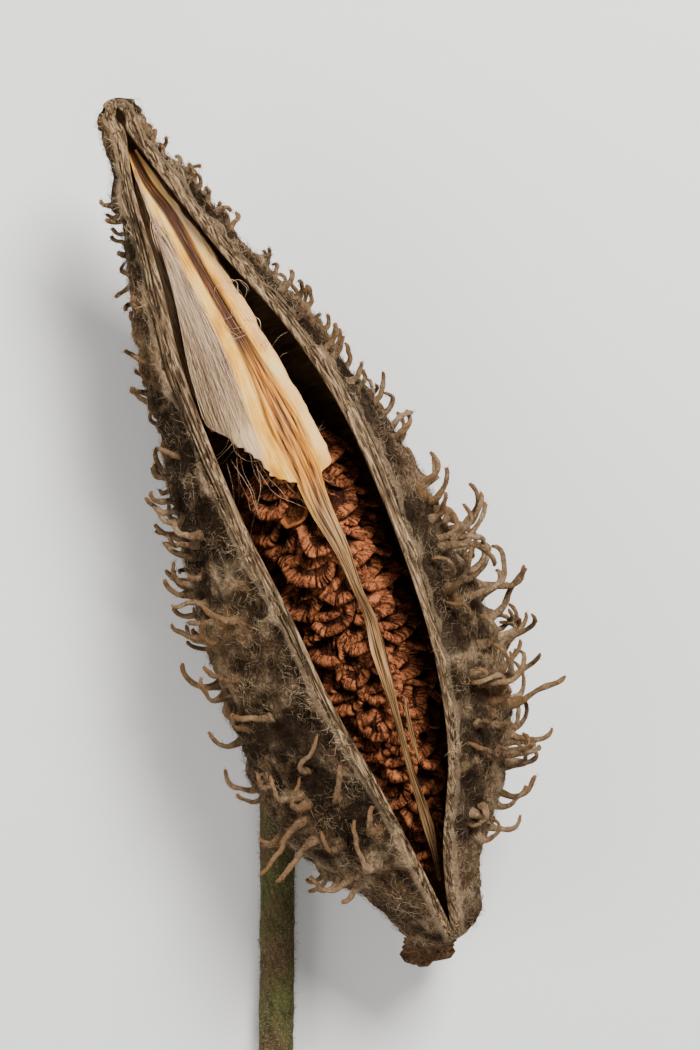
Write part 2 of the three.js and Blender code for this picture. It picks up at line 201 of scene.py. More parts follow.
class Recipe:
    """A material's node tree, put together one step at a time."""

    def __init__(self, name: str, **constants: float) -> None:
        """Starts a material.

        Args:
            name: The material's name.
            **constants: Shader sockets that are the same all over, with _ for each space in their names.
        """
        self.material = bpy.data.materials.new(name)
        self.material.use_nodes = True
        self.nodes = self.material.node_tree.nodes
        self.shader = self.nodes["Principled BSDF"]
        for socket, value in constants.items():
            self.shader.inputs[socket.replace("_", " ")].default_value = value

    def node(self, kind: str, **inputs: Paint) -> bpy.types.Node:
        """Adds a node.

        Args:
            kind: Its type, without the word that all shader nodes start with.
            **inputs: What its inputs take, by their names.

        Returns:
            The node.
        """
        made = self.nodes.new("ShaderNode" + kind)
        for name, value in inputs.items():
            self.feed(made.inputs[name], value)
        return made

    def feed(self, socket: Socket, value: Paint) -> None:
        """Links an output to an input, or sets a plain value on it.

        Args:
            socket: The input.
            value: An output, a colour or a number.
        """
        if isinstance(value, Socket):
            self.material.node_tree.links.new(value, socket)
        else:
            socket.default_value = (*value, 1.0) if socket.type == "RGBA" else value

    def place(self, stretch: Triple = EVEN) -> Socket:
        """Gives the place on the piece.

        Args:
            stretch: Numbers that X, Y and Z are divided by.

        Returns:
            The place in millimetres.
        """
        mapping = self.node("Mapping", Vector=self.node("TexCoord").outputs["Object"])
        mapping.inputs["Scale"].default_value = tuple(1.0 / MM / s for s in stretch)
        return mapping.outputs["Vector"]

    def noise(self, size: float, detail: float = 3.0, rough: float = 0.55, stretch: Triple = EVEN,
              bend: float = 0.0) -> Socket:
        """Gives cloudy noise.

        Args:
            size: Width of its lumps in millimetres.
            detail: How many finer layers it has.
            rough: How strong the finer layers are.
            stretch: How much longer the lumps are in X, Y and Z.
            bend: How much the lumps are pulled out of shape.

        Returns:
            The noise, from 0 to 1.
        """
        made = self.node("TexNoise", Vector=self.place(stretch), Scale=1.0 / size, Detail=detail,
                         Roughness=rough, Distortion=bend)
        return made.outputs["Fac"]

    def cells(self, size: float, stretch: Triple) -> Socket:
        """Gives the distance to the nearest of scattered points about a size apart in millimetres."""
        made = self.node("TexVoronoi", Vector=self.place(stretch), Scale=1.0 / size)
        return made.outputs["Distance"]

    def streaks(self, across: str, size: float, along: str, length: float) -> Socket:
        """Gives streaks that keep to two marks held by the mesh.

        Args:
            across: Name of the mark that counts across the streaks.
            size: Width of a streak, in units of that mark.
            along: Name of the mark that counts along the streaks.
            length: Length of a streak, in units of that mark.

        Returns:
            The streaks, from 0 to 1.
        """
        x = self.sum(self.mark(across), 1.0 / size, "MULTIPLY")
        y = self.sum(self.mark(along), 1.0 / length, "MULTIPLY")
        grid = self.node("CombineXYZ", X=x, Y=y).outputs["Vector"]
        return self.node("TexNoise", Vector=grid, Scale=1.0, Detail=3.0, Roughness=0.6).outputs["Fac"]

    def mark(self, name: str) -> Socket:
        """Reads a number that the mesh holds for each point.

        Args:
            name: The mark's name.

        Returns:
            The number.
        """
        made = self.node("Attribute")
        made.attribute_name = name
        return made.outputs["Fac"]

    def ramp(self, value: Socket, *stops: tuple[float, Colour]) -> Socket:
        """Turns a number into a colour.

        Args:
            value: The number.
            *stops: (position, colour) pairs in rising order.

        Returns:
            The colour.
        """
        made = self.node("ValToRGB", Fac=value)
        elements = made.color_ramp.elements
        while len(elements) < len(stops):
            elements.new(0.5)
        for element, (position, colour) in zip(elements, stops):
            element.position = position
            element.color = (*colour, 1.0)
        return made.outputs["Color"]

    def range(self, value: Socket, low: float, high: float, to_low: float = 0.0,
              to_high: float = 1.0) -> Socket:
        """Stretches a number from one range to another, smoothly and without passing its ends.

        Args:
            value: The number.
            low: Start of its range.
            high: End of its range.
            to_low: What the start turns into.
            to_high: What the end turns into.

        Returns:
            The new number.
        """
        made = self.node("MapRange", Value=value)
        made.interpolation_type = "SMOOTHSTEP"
        for socket, number in zip(("From Min", "From Max", "To Min", "To Max"), (low, high, to_low, to_high)):
            made.inputs[socket].default_value = number
        return made.outputs["Result"]

    def blend(self, share: Socket | float, a: Paint, b: Paint, way: str = "MIX") -> Socket:
        """Mixes two colours.

        Args:
            share: How much of the second colour there is.
            a: The first colour.
            b: The second colour.
            way: How they mix.

        Returns:
            The new colour.
        """
        made = self.nodes.new("ShaderNodeMix")
        made.data_type = "RGBA"
        made.blend_type = way
        for socket, value in zip((made.inputs["Factor"], made.inputs[6], made.inputs[7]), (share, a, b)):
            self.feed(socket, value)
        return made.outputs[2]

    def sum(self, a: Socket, b: Socket | float, way: str = "ADD") -> Socket:
        """Joins two numbers.

        Args:
            a: The first number.
            b: The second number.
            way: The operation, if it isn't a sum.

        Returns:
            The new number.
        """
        made = self.nodes.new("ShaderNodeMath")
        made.operation = way
        self.feed(made.inputs[0], a)
        self.feed(made.inputs[1], b)
        return made.outputs[0]

    def weigh(self, a: Socket, share_a: float, b: Socket, share_b: float) -> Socket:
        """Adds two numbers up, each times a share of its own."""
        return self.sum(self.sum(a, share_a, "MULTIPLY"), self.sum(b, share_b, "MULTIPLY"))

    def finish(self, colour: Paint, height: Socket | None = None, depth: float = 0.1,
               roughness: Socket | None = None) -> Material:
        """Connects the colour, the fine relief and the roughness.

        Args:
            colour: Output or colour for the base colour.
            height: Output that holds the fine relief, if any.
            depth: Depth of that relief in millimetres.
            roughness: Output for the roughness, if it varies.

        Returns:
            The finished material.
        """
        self.feed(self.shader.inputs["Base Color"], colour)
        if height is not None:
            bump = self.node("Bump", Height=height, Distance=depth * MM)
            self.feed(self.shader.inputs["Normal"], bump.outputs["Normal"])
        if roughness is not None:
            self.feed(self.shader.inputs["Roughness"], roughness)
        return self.material


@dataclass(frozen=True)
class WoolFinish:
    """Matted grey-brown wool, with paler and darker patches, browner spine tips and painted shade in the
    hollows between tufts.
    """

    name: str = "woolly_husk"
    dark: Colour = tint(30, 20, 12)
    middle: Colour = tint(84, 64, 45)
    pale: Colour = tint(158, 134, 104)
    tan: Colour = tint(120, 88, 56)
    tip: Colour = tint(128, 90, 58)

    def material(self) -> Material:
        """Builds the wool for the husk's outside and its spines.

        Returns:
            The material.
        """
        recipe = Recipe(self.name, Roughness=0.95, Specular_IOR_Level=0.05)
        patches = recipe.noise(5.5, detail=5.0, rough=0.6, bend=0.6)
        felt = recipe.noise(0.42, detail=4.0, rough=0.7, stretch=(1.0, 1.6, 1.0), bend=1.2)
        strands = recipe.noise(0.16, detail=2.0, stretch=(1.0, 3.0, 1.0), bend=2.0)
        tone = recipe.weigh(patches, 0.55, felt, 0.45)
        wool = recipe.ramp(tone, (0.38, self.dark), (0.5, self.middle), (0.63, self.pale))
        warm = recipe.range(recipe.noise(8.0, detail=3.0), 0.5, 0.66, 0.0, 0.65)
        wool = recipe.blend(warm, wool, self.tan)
        # Painted shade: the wool turns dark where it lies deep between tufts.
        wool = recipe.blend(recipe.range(recipe.mark("hollow_shade"), 0.25, 0.95, 0.0, 0.8), wool, self.dark)
        wool = recipe.blend(recipe.range(recipe.mark("welt"), 0.3, 1.0, 0.0, 0.5), wool, self.pale)
        wool = recipe.blend(recipe.range(recipe.mark("tip"), 0.75, 1.0, 0.0, 0.8), wool, self.tip)
        relief = recipe.weigh(felt, 0.7, strands, 0.3)
        return recipe.finish(wool, relief, depth=0.8)


@dataclass(frozen=True)
class RimFinish:
    """Pale grey-tan bark of the split's edges, in long fibres, with painted shade in its small pits and in
    the grooves between its ridges.
    """

    pale: Colour = tint(164, 138, 106)
    middle: Colour = tint(100, 78, 54)
    dark: Colour = tint(44, 31, 21)

    def material(self) -> Material:
        """Builds the bark of the lips.

        Returns:
            The material.
        """
        recipe = Recipe("split_rim_bark", Roughness=0.82, Specular_IOR_Level=0.1)
        fibres = recipe.noise(0.28, detail=4.0, rough=0.65, stretch=(1.0, 16.0, 1.0), bend=0.4)
        # Painted shade: each sunken pit darkens towards its middle.
        pits = recipe.range(recipe.cells(0.5, stretch=(1.0, 5.0, 1.0)), 0.08, 0.34)
        bark = recipe.ramp(fibres, (0.39, self.dark), (0.49, self.middle), (0.62, self.pale))
        bark = recipe.blend(pits, recipe.blend(0.5, bark, self.dark), bark)
        # Painted shade in the grooves and pits that are sunk into the rim.
        groove = recipe.range(recipe.mark("groove"), 0.2, 0.8, 0.0, 0.8)
        bark = recipe.blend(groove, bark, self.dark)
        relief = recipe.weigh(fibres, 1.0, pits, 0.5)
        return recipe.finish(bark, relief, depth=0.3)


@dataclass(frozen=True)
class LiningFinish:
    """Smooth tan inside of the husk, with faint fibres running across it."""

    pale: Colour = tint(140, 110, 72)
    dark: Colour = tint(74, 52, 31)

    def material(self) -> Material:
        """Builds the lining.

        Returns:
            The material.
        """
        recipe = Recipe("husk_lining", Roughness=0.55, Specular_IOR_Level=0.2)
        fibres = recipe.noise(0.5, detail=4.0, stretch=(6.0, 1.0, 6.0), bend=0.3)
        patches = recipe.noise(6.0, detail=3.0)
        tone = recipe.weigh(fibres, 0.5, patches, 0.5)
        return recipe.finish(recipe.ramp(tone, (0.36, self.dark), (0.64, self.pale)), fibres, depth=0.12)


@dataclass(frozen=True)
class SeedFinish:
    """Red-brown wrinkled seed coat, paler on the rolled rim, partly as a painted highlight, and nearly black
    with painted shade in the folds.
    """

    # Painted shade in the folds and low wrinkles.
    fold: Colour = tint(20, 9, 4)
    coat: Colour = tint(74, 38, 22)
    # The rim's own paler tone, raised into a painted highlight.
    rim: Colour = tint(174, 104, 64)
    gold: Colour = tint(126, 74, 36)

    def material(self) -> Material:
        """Builds the seed coat.

        Returns:
            The material.
        """
        recipe = Recipe("seed_coat", Roughness=0.6, Specular_IOR_Level=0.05)
        hatch = recipe.streaks("arc", 0.32, "inset", 1.3)
        wrinkles = recipe.noise(0.42, detail=5.0, rough=0.62, bend=1.6)
        grain = recipe.weigh(hatch, 0.55, wrinkles, 0.45)
        raised = recipe.mark("raised")
        # Low wrinkles and hatch lines take the painted shade, high ones the rim's partly painted highlight.
        centre = recipe.ramp(wrinkles, (0.38, self.fold), (0.62, self.coat), (0.82, self.rim))
        margin = recipe.ramp(grain, (0.36, self.fold), (0.45, self.coat), (0.58, self.rim))
        coat = recipe.blend(recipe.range(raised, 0.3, 0.7), centre, margin)
        patches = recipe.range(recipe.noise(3.5, detail=2.0), 0.42, 0.66, 0.0, 0.4)
        coat = recipe.blend(patches, coat, self.coat, "MULTIPLY")
        coat = recipe.blend(recipe.sum(recipe.mark("thin"), raised, "MULTIPLY"), coat, self.gold)
        return recipe.finish(coat, grain, depth=0.3, roughness=recipe.range(wrinkles, 0.3, 0.7, 0.7, 0.45))


@dataclass(frozen=True)
class RibbonFinish:
    """Cream paper with a brown fibrous strip along its middle and a silvery side, with painted shade towards
    its left edge.
    """

    cream: Colour = tint(228, 166, 60)
    straw: Colour = tint(192, 124, 30)
    orange: Colour = tint(130, 74, 18)
    umber: Colour = tint(82, 43, 12)
    brown: Colour = tint(36, 18, 6)
    bright: Colour = tint(230, 192, 108)
    silver: Colour = tint(216, 182, 142)
    # Colour of the painted shade on the silvery side's left edge.
    hollow_shade: Colour = tint(112, 86, 64)
    dry: Colour = tint(162, 126, 82)
    dull: Colour = tint(100, 70, 42)

    def material(self) -> Material:
        """Builds the papery ribbon.

        Returns:
            The material.
        """
        recipe = Recipe("papery_ribbon", Roughness=0.5, Specular_IOR_Level=0.15)
        fibres = recipe.streaks("across", 0.22, "along", 7.0)
        clouds = recipe.noise(1.8, detail=4.0, stretch=(1.0, 3.0, 1.0))
        tone = recipe.weigh(clouds, 0.7, fibres, 0.3)
        paper = recipe.ramp(tone, (0.38, self.straw), (0.5, self.cream), (0.62, self.bright))
        silk = recipe.blend(recipe.range(fibres, 0.36, 0.66, 0.0, 0.4), self.silver, self.dry)
        # Painted shade: the silvery side darkens towards its left edge, next to the left lip.
        silk = recipe.blend(recipe.range(recipe.mark("across"), -6.5, -3.6, 0.75, 0.0), silk, self.hollow_shade)
        # The silky mark also holds a painted highlight near the right wing's tip.
        paper = recipe.blend(recipe.mark("silky"), paper, silk)
        golden = recipe.ramp(
            fibres, (0.38, self.brown), (0.46, self.orange), (0.56, self.straw), (0.71, self.cream))
        dark = recipe.ramp(fibres, (0.42, self.brown), (0.56, self.umber), (0.78, self.straw))
        strip = recipe.blend(recipe.range(recipe.mark("along"), 15.0, 21.0), golden, dark)
        dry = recipe.ramp(fibres, (0.4, self.brown), (0.48, self.dull), (0.6, self.dry))
        strip = recipe.blend(recipe.mark("lower"), strip, dry)
        colour = recipe.blend(recipe.mark("strip"), paper, strip)
        return recipe.finish(colour, fibres, depth=0.16, roughness=recipe.range(fibres, 0.3, 0.7, 0.6, 0.38))


@dataclass(frozen=True)
class SilkFinish:
    """Silvery white silk."""

    white: Colour = tint(218, 187, 150)
    shade: Colour = tint(146, 114, 86)

    def material(self) -> Material:
        """Builds the silk of the floss.

        Returns:
            The material.
        """
        recipe = Recipe("silk_floss", Roughness=0.38, Specular_IOR_Level=0.3, Sheen_Weight=0.1,
                        Sheen_Roughness=0.35)
        streaks = recipe.noise(0.2, detail=2.0, stretch=(1.0, 24.0, 1.0))
        return recipe.finish(recipe.ramp(streaks, (0.36, self.shade), (0.58, self.white)), streaks, depth=0.1)


@dataclass(frozen=True)
class StalkFinish:
    """Olive-brown dry stalk with greener streaks and a pale bloom."""

    olive: Colour = tint(72, 74, 38)
    brown: Colour = tint(80, 62, 42)
    pale: Colour = tint(124, 113, 84)
    dark: Colour = tint(36, 33, 20)

    def material(self) -> Material:
        """Builds the bark of the stalk.

        Returns:
            The material.
        """
        recipe = Recipe("stalk_bark", Roughness=0.9, Specular_IOR_Level=0.08)
        streaks = recipe.noise(0.6, detail=4.0, stretch=(1.0, 5.0, 1.0), bend=0.5)
        patches = recipe.noise(5.0, detail=3.0)
        speckle = recipe.noise(0.28, detail=3.0, rough=0.7)
        bark = recipe.ramp(patches, (0.4, self.olive), (0.62, self.brown))
        bark = recipe.blend(recipe.range(streaks, 0.3, 0.55, 0.7, 0.0), bark, self.dark)
        bark = recipe.blend(recipe.range(speckle, 0.5, 0.72, 0.0, 0.6), bark, self.pale)
        relief = recipe.weigh(streaks, 1.0, speckle, 0.5)
        return recipe.finish(bark, relief, depth=0.3)


@dataclass(frozen=True)
class SepalFinish:
    """Shrivelled brown sepals."""

    dark: Colour = tint(42, 28, 18)
    pale: Colour = tint(108, 80, 54)

    def material(self) -> Material:
        """Builds the sepals' dry leaf.

        Returns:
            The material.
        """
        recipe = Recipe("dry_sepal", Roughness=0.85, Specular_IOR_Level=0.1)
        veins = recipe.noise(0.35, detail=4.0, bend=0.8)
        return recipe.finish(recipe.ramp(veins, (0.35, self.dark), (0.66, self.pale)), veins, depth=0.25)


@dataclass(frozen=True)
class FibreFinish:
    """Fine pale plant hairs, a little different in tone from place to place."""

    name: str
    pale: Colour
    dark: Colour

    def material(self) -> Material:
        """Builds the hairs' finish.

        Returns:
            The material.
        """
        recipe = Recipe(self.name, Roughness=0.9, Specular_IOR_Level=0.05)
        patches = recipe.range(recipe.noise(4.0, detail=4.0), 0.36, 0.64)
        tone = recipe.weigh(patches, 0.55, recipe.mark("shade"), 0.45)
        return recipe.finish(recipe.ramp(tone, (0.18, self.dark), (0.85, self.pale)))


@dataclass
class Clay:
    """Points, faces and point marks of one mesh while it is put together."""

    points: list[Array] = field(default_factory=list)
    faces: list[Array] = field(default_factory=list)
    finish: list[Array] = field(default_factory=list)
    marks: dict[str, list[Array]] = field(default_factory=dict)
    count: int = 0

    def add(self, points: Array, *faces: Array, finish: int | Array = 0,
            **marks: Number) -> None:
        """Adds a body.

        Args:
            points: Its points, one a row.
            *faces: Arrays of faces with equally many corners, counted from its own first point.
            finish: Number of the material slot, or one number for each face.
            **marks: Numbers for each point, or one for all, by name. All bodies of a mesh have the same.
        """
        self.points.append(points)
        total = sum(len(f) for f in faces)
        self.finish.append(np.broadcast_to(np.asarray(finish), (total,)))
        for f in faces:
            self.faces.append(f + self.count)
        for name, values in marks.items():
            self.marks.setdefault(name, []).append(np.broadcast_to(np.asarray(values, float), (len(points),)))
        self.count += len(points)

    def piece(self, name: str, materials: list[Material],
              bake_map: Array | None = None) -> Piece:
        """Turns the clay into a piece that rides on the pod.

        Args:
            name: The piece's name.
            materials: Its materials, in slot order.
            bake_map: Map places for each face corner, if the piece brings its own map.

        Returns:
            The new object.
        """
        mesh = bpy.data.meshes.new(name)
        places = (np.concatenate(self.points) - ORIGIN) * MM
        sizes = np.concatenate([np.full(len(f), f.shape[1]) for f in self.faces])
        corners = np.concatenate([f.ravel() for f in self.faces])
        mesh.vertices.add(len(places))
        mesh.vertices.foreach_set("co", places.astype(np.float32).ravel())
        mesh.loops.add(len(corners))
        mesh.loops.foreach_set("vertex_index", corners.astype(np.int32))
        mesh.polygons.add(len(sizes))
        mesh.polygons.foreach_set("loop_start", (np.cumsum(sizes) - sizes).astype(np.int32))
        mesh.polygons.foreach_set("material_index", np.concatenate(self.finish).astype(np.int32))
        mesh.polygons.foreach_set("use_smooth", np.ones(len(sizes), dtype=bool))
        for mark, values in self.marks.items():
            layer = mesh.attributes.new(mark, "FLOAT", "POINT")
            layer.data.foreach_set("value", np.concatenate(values).astype(np.float32))
        if bake_map is not None:
            mesh.uv_layers.new(name="OFBake").data.foreach_set("uv", bake_map.astype(np.float32).ravel())
        mesh.update(calc_edges=True)
        for material in materials:
            mesh.materials.append(material)
        made = bpy.data.objects.new(name, mesh)
        bpy.context.scene.collection.objects.link(made)
        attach(made, BODY)
        log.info("%s: %d faces", name, len(sizes))
        return made


def grid_faces(rows: int, columns: int, closed: bool = False) -> Array:
    """Makes the quads of a grid of points, row by row.

    Args:
        rows: Number of rows of points.
        columns: Number of points in a row.
        closed: Whether each row closes on itself.

    Returns:
        Four corners for each quad.
    """
    r, c = np.meshgrid(np.arange(rows - 1), np.arange(columns if closed else columns - 1), indexing="ij")
    a = (r * columns + c).ravel()
    b = (r * columns + (c + 1) % columns).ravel()
    return np.stack((a, b, b + columns, a + columns), axis=1)


def closed_tube(rings: Array) -> tuple[Array, Array, Array]:
    """Closes rings of points into a body with a fan on each end, facing out.

    Args:
        rings: Points by ring, place in the ring and coordinate.

    Returns:
        The points, the quads and the triangles.
    """
    rows, columns = rings.shape[:2]
    points = np.concatenate((rings.reshape(-1, 3), rings[:1].mean(axis=1), rings[-1:].mean(axis=1)))
    quads = grid_faces(rows, columns, closed=True)
    c = np.arange(columns)
    after = (c + 1) % columns
    first = np.stack((np.full(columns, rows * columns), after, c), axis=1)
    base = (rows - 1) * columns
    last = np.stack((np.full(columns, rows * columns + 1), base + c, base + after), axis=1)
    triangles = np.concatenate((first, last))
    p, q = points[quads[:, 0]], points[quads[:, 1]]
    r, s = points[quads[:, 2]], points[quads[:, 3]]
    volume = np.sum(p * np.cross(q, r)) + np.sum(p * np.cross(r, s))
    if volume < 0:
        quads, triangles = quads[:, ::-1], triangles[:, ::-1]
    return points, quads, triangles


def sweep(path: Array, radii: Array, sides: int, flat: float = 1.0) -> Array:
    """Lays rings along a path without twisting them.

    Args:
        path: Points of the path.
        radii: One radius for each point.
        sides: Points in a ring.
        flat: Share of the radius in the ring's second direction.

    Returns:
        The rings.
    """
    along = unit(np.gradient(path, axis=0))
    side = unit(np.cross(along[0], UP if abs(along[0][2]) < 0.9 else TO_TIP))
    angles = np.arange(sides) / sides * TURN
    rings = np.empty((len(path), sides, 3))
    for i, (point, heading) in enumerate(zip(path, along)):
        side = unit(side - heading * np.dot(side, heading))
        over = np.cross(heading, side)
        rings[i] = point + radii[i] * (np.cos(angles)[:, None] * side + flat * np.sin(angles)[:, None] * over)
    return rings


def hairs(joints: Array, radius: Array) -> tuple[Array, Array]:
    """Makes three-sided closed hairs that run to a point.

    Args:
        joints: Places along each hair from its root to its tip, by hair, joint and coordinate.
        radius: Radius of each hair at its root.

    Returns:
        The points and the triangles.
    """
    rings = joints.shape[1] - 1
    along = unit(joints[:, -1] - joints[:, 0])
    side = unit(np.cross(along, np.where(np.abs(along[:, 2:3]) < 0.9, UP, TO_TIP)))
    over = np.cross(along, side)
    angles = (np.arange(3) / 3 * TURN)[None, :, None]
    spokes = np.cos(angles) * side[:, None] + np.sin(angles) * over[:, None]
    sizes = radius[:, None] * np.linspace(1.0, 0.5, rings)[None] if rings > 1 else radius[:, None]
    round_joints = joints[:, :-1, None] + sizes[..., None, None] * spokes[:, None]
    points = np.concatenate((round_joints.reshape(len(joints), -1, 3), joints[:, -1:]), axis=1)
    one = [(0, 2, 1)]
    for k in range(rings):
        for i, j in ((0, 1), (1, 2), (2, 0)):
            a, b = 3 * k + i, 3 * k + j
            one += [(a, b, 3 * rings)] if k == rings - 1 else [(a, b, b + 3), (a, b + 3, a + 3)]
    faces = np.arange(len(joints))[:, None, None] * (3 * rings + 1) + np.array(one)[None]
    return points.reshape(-1, 3), faces.reshape(-1, 3)


def hair_map(roots: Array, faces: int, texel: float = 1.0 / 1024.0) -> Array:
    """Maps each hair to a small triangle at its own place on a square.

    Args:
        roots: Root of each hair, whose x and y give its place on the square.
        faces: How many triangles all hairs have.
        texel: Half the width of the triangle.

    Returns:
        Map places for the corners of the hairs' faces, in order.
    """
    corner = np.array(((-1.0, -1.0), (1.0, -1.0), (0.0, 1.5))) * texel
    spread = (roots - roots.min(axis=0)) / np.ptp(roots, axis=0)
    middle = spread[:, :2] * 0.98 + 0.01
    shape = (len(roots), faces // len(roots), 3, 2)
    return np.broadcast_to(middle[:, None, None] + corner, shape).reshape(-1, 2)


def hair_piece(name: str, finish: FibreFinish, joints: Array, rng: np.random.Generator,
               paler: Number = 0.0) -> Piece:
    """Makes one piece of many hairs, kept clear of the table.

    Args:
        name: The piece's name.
        finish: The hairs' finish.
        joints: Places along each hair, by hair, joint and coordinate.
        rng: Source of each hair's radius and shade.
        paler: How much paler each hair is than chance makes it; below 0 it is darker, as the painted shade of
            the wool's hollows.

    Returns:
        The new object.
    """
    joints[..., 2] = np.maximum(joints[..., 2], HAIR_CLEAR)
    points, faces = hairs(joints, rng.uniform(*HAIR, len(joints)))
    clay = Clay()
    shade = rng.uniform(size=len(joints)) + paler
    clay.add(points, faces, shade=np.repeat(shade, len(points) // len(joints)))
    return clay.piece(name, [finish.material()], hair_map(joints[:, 0], len(faces)))


class Lip(Enum):
    """The two edges of the split, with the side of it that each stands on."""

    LEFT = -1
    RIGHT = 1


@dataclass(frozen=True)
class HuskForm:
    """Outline, sections and relief of the husk, which the spines and the wool follow too."""

    wall: float = 1.3
    belly: float = 2.4
    welt_height: float = 0.3
    rim_width: float = 1.75
    rim_share: Profile = Profile(((-45, 0.4), (-31, 0.45), (-15, 0.58), (-5, 0.72), (10, 0.92), (25, 1.0)))
    left: Profile = along_pod(
        WIDTH, (0, -0.02), (0.01, -0.1), (0.04, -0.148), (0.08, -0.213), (0.12, -0.323), (0.16, -0.397),
        (0.22, -0.439), (0.3, -0.439), (0.4, -0.419), (0.5, -0.381), (0.6, -0.316), (0.7, -0.265),
        (0.8, -0.19), (0.9, -0.126), (0.95, -0.087), (0.975, -0.08), (0.99, -0.074), (1, -0.05))
    right: Profile = along_pod(
        WIDTH, (0, 0.045), (0.01, 0.116), (0.04, 0.161), (0.08, 0.213), (0.12, 0.329), (0.16, 0.419),
        (0.22, 0.516), (0.3, 0.548), (0.4, 0.558), (0.5, 0.523), (0.6, 0.452), (0.7, 0.361), (0.8, 0.245),
        (0.9, 0.135), (0.95, 0.074), (0.975, 0.062), (0.99, 0.06), (1, 0.036))
    left_lip: Profile = along_pod(
        WIDTH, (0.0, 0.018), (0.015, 0.018), (0.1, 0), (0.2, -0.032), (0.3, -0.077), (0.4, -0.097),
        (0.5, -0.129), (0.6, -0.142), (0.7, -0.135), (0.8, -0.09), (0.9, -0.058), (0.95, -0.02),
        (0.965, -0.012), (0.98, -0.024), (0.992, -0.004), (1, -0.002))
    right_lip: Profile = along_pod(
        WIDTH, (0.0, 0.022), (0.015, 0.022), (0.1, 0.097), (0.2, 0.242), (0.3, 0.323), (0.4, 0.355),
        (0.5, 0.361), (0.6, 0.342), (0.7, 0.271), (0.8, 0.155), (0.9, 0.058), (0.95, 0.014), (0.965, 0.004),
        (0.98, 0.016), (0.992, -0.002), (1, 0.0))
    back: Profile = along_pod(
        DEPTH, (0, 0.43), (0.01, 0.36), (0.04, 0.288), (0.08, 0.208), (0.12, 0.136), (0.16, 0.084),
        (0.22, 0.032), (0.3, 0), (0.4, 0), (0.5, 0.024), (0.6, 0.088), (0.7, 0.184), (0.8, 0.312),
        (0.9, 0.464), (0.95, 0.544), (0.98, 0.6), (1, 0.655))
    front: Profile = along_pod(
        DEPTH, (0, 0.57), (0.01, 0.64), (0.04, 0.7), (0.08, 0.768), (0.12, 0.832), (0.16, 0.888),
        (0.22, 0.944), (0.3, 0.992), (0.4, 1.008), (0.5, 1), (0.6, 0.976), (0.7, 0.936), (0.8, 0.88),
        (0.9, 0.816), (0.95, 0.768), (0.98, 0.752), (1, 0.72))

    def section(self, y: Number, inset: float = 0.0) -> tuple[Array, ...]:
        """Gives the oval section.

        Args:
            y: Places along the pod.
            inset: How far inside the outer wall the oval lies.

        Returns:
            The x and z of its middle, its half width and its half height.
        """
        left, right, back, front = self.left(y), self.right(y), self.back(y), self.front(y)
        wide, high = (right - left) / 2, (front - back) / 2
        return ((left + right) / 2, self.belly + (back + front) / 2,
                np.maximum(wide - inset, 0.3 * wide), np.maximum(high - inset, 0.3 * high))

    def point(self, y: Number, angle: Number, out: Number = 0.0, inset: float = 0.0) -> Array:
        """Gives places at angles from the front to the right, out from the smooth wall or one inset in it."""
        x, z, wide, high = self.section(y, inset)
        return xyz(x + (wide + out) * np.sin(angle), y, z + (high + out) * np.cos(angle))

    def normal(self, y: Number, angle: Number) -> Array:
        """Gives the outward direction of the smooth surface.

        Args:
            y: Places along the pod.
            angle: Angles round it.

        Returns:
            The directions, in the last axis.
        """
        around = self.point(y, angle + 0.02) - self.point(y, angle - 0.02)
        along = self.point(y + 0.3, angle) - self.point(y - 0.3, angle)
        return unit(np.cross(around, along))

    def lip(self, which: Lip, y: Number) -> Array:
        """Gives the x of a lip's free edge."""
        return (self.left_lip if which is Lip.LEFT else self.right_lip)(y)

    def rim_span(self, which: Lip, y: Number) -> Array:
        """Gives the width of a lip's bare rim, which narrows at both ends of the pod."""
        side = self.left(y) if which is Lip.LEFT else self.right(y)
        return np.minimum(self.rim_width * self.rim_share(y), 0.5 * np.abs(side - self.lip(which, y)))

    def wool_edge(self, which: Lip, y: Number) -> Array:
        """Finds where the wool ends and a lip's bare rim begins.

        Args:
            which: The lip.
            y: Places along the pod.

        Returns:
            The angles there.
        """
        x, _, wide, _ = self.section(y)
        edge = self.lip(which, y) + which.value * self.rim_span(which, y)
        return np.arcsin(np.clip((edge - x) / wide, -0.999, 0.999))

    def around(self, y: Number, share: Number) -> Array:
        """Gives the angle at a share of the way round the back, from the right lip to the left one."""
        return mix(self.wool_edge(Lip.RIGHT, y), TURN + self.wool_edge(Lip.LEFT, y), share)

    def welt(self, y: Number, share: Number) -> Array:
        """Gives how near a place is to the wool's edge along the lips, from 0 to 1."""
        girth = np.abs(self.around(y, 1.0) - self.around(y, 0.0)) * self.section(y)[2]
        return hump(np.minimum(share, 1.0 - share) * girth, 0.15, 0.55)

    def relief(self, y: Number, angle: Number) -> Array:
        """Shapes the dried, matted surface.

        Args:
            y: Places along the pod.
            angle: Angles round it.

        Returns:
            The surface's height above the smooth oval.
        """
        place = self.point(y, angle)
        unrolled = xyz(angle * 11.0, y, 0.0)
        small = np.minimum(self.section(y)[2] / 8.0, 1.0)
        height = (0.5 * Grain(1)(place, 11.0) + 0.56 * Grain(2)(place, 3.6, 2)
                  + 0.34 * Grain(3)(place, 1.4, 2))
        height += 0.5 * (0.5 - np.abs(Grain(4)(unrolled, (3.0, 18.0, 1.0), 2)))
        height += 0.45 * (0.4 - np.abs(Grain(13)(place, 2.6, 2)))
        height = np.maximum(height, -0.6 + 0.25 * height) * mix(0.45, 1.0, small)
        crumple = smooth_step(place[..., 1], 43.5, 48.0)
        return height + crumple * (0.75 * Grain(5)(place, (0.9, 1.3, 0.9), 2) + 0.1)

    def hollow_shade(self, y: Number, angle: Number) -> Array:
        """Gives how deep a place lies between the tufts, from 0 to 1, which sets the wool's painted shade."""
        return 1.0 - smooth_step(self.relief(y, angle), -0.4, 0.45)


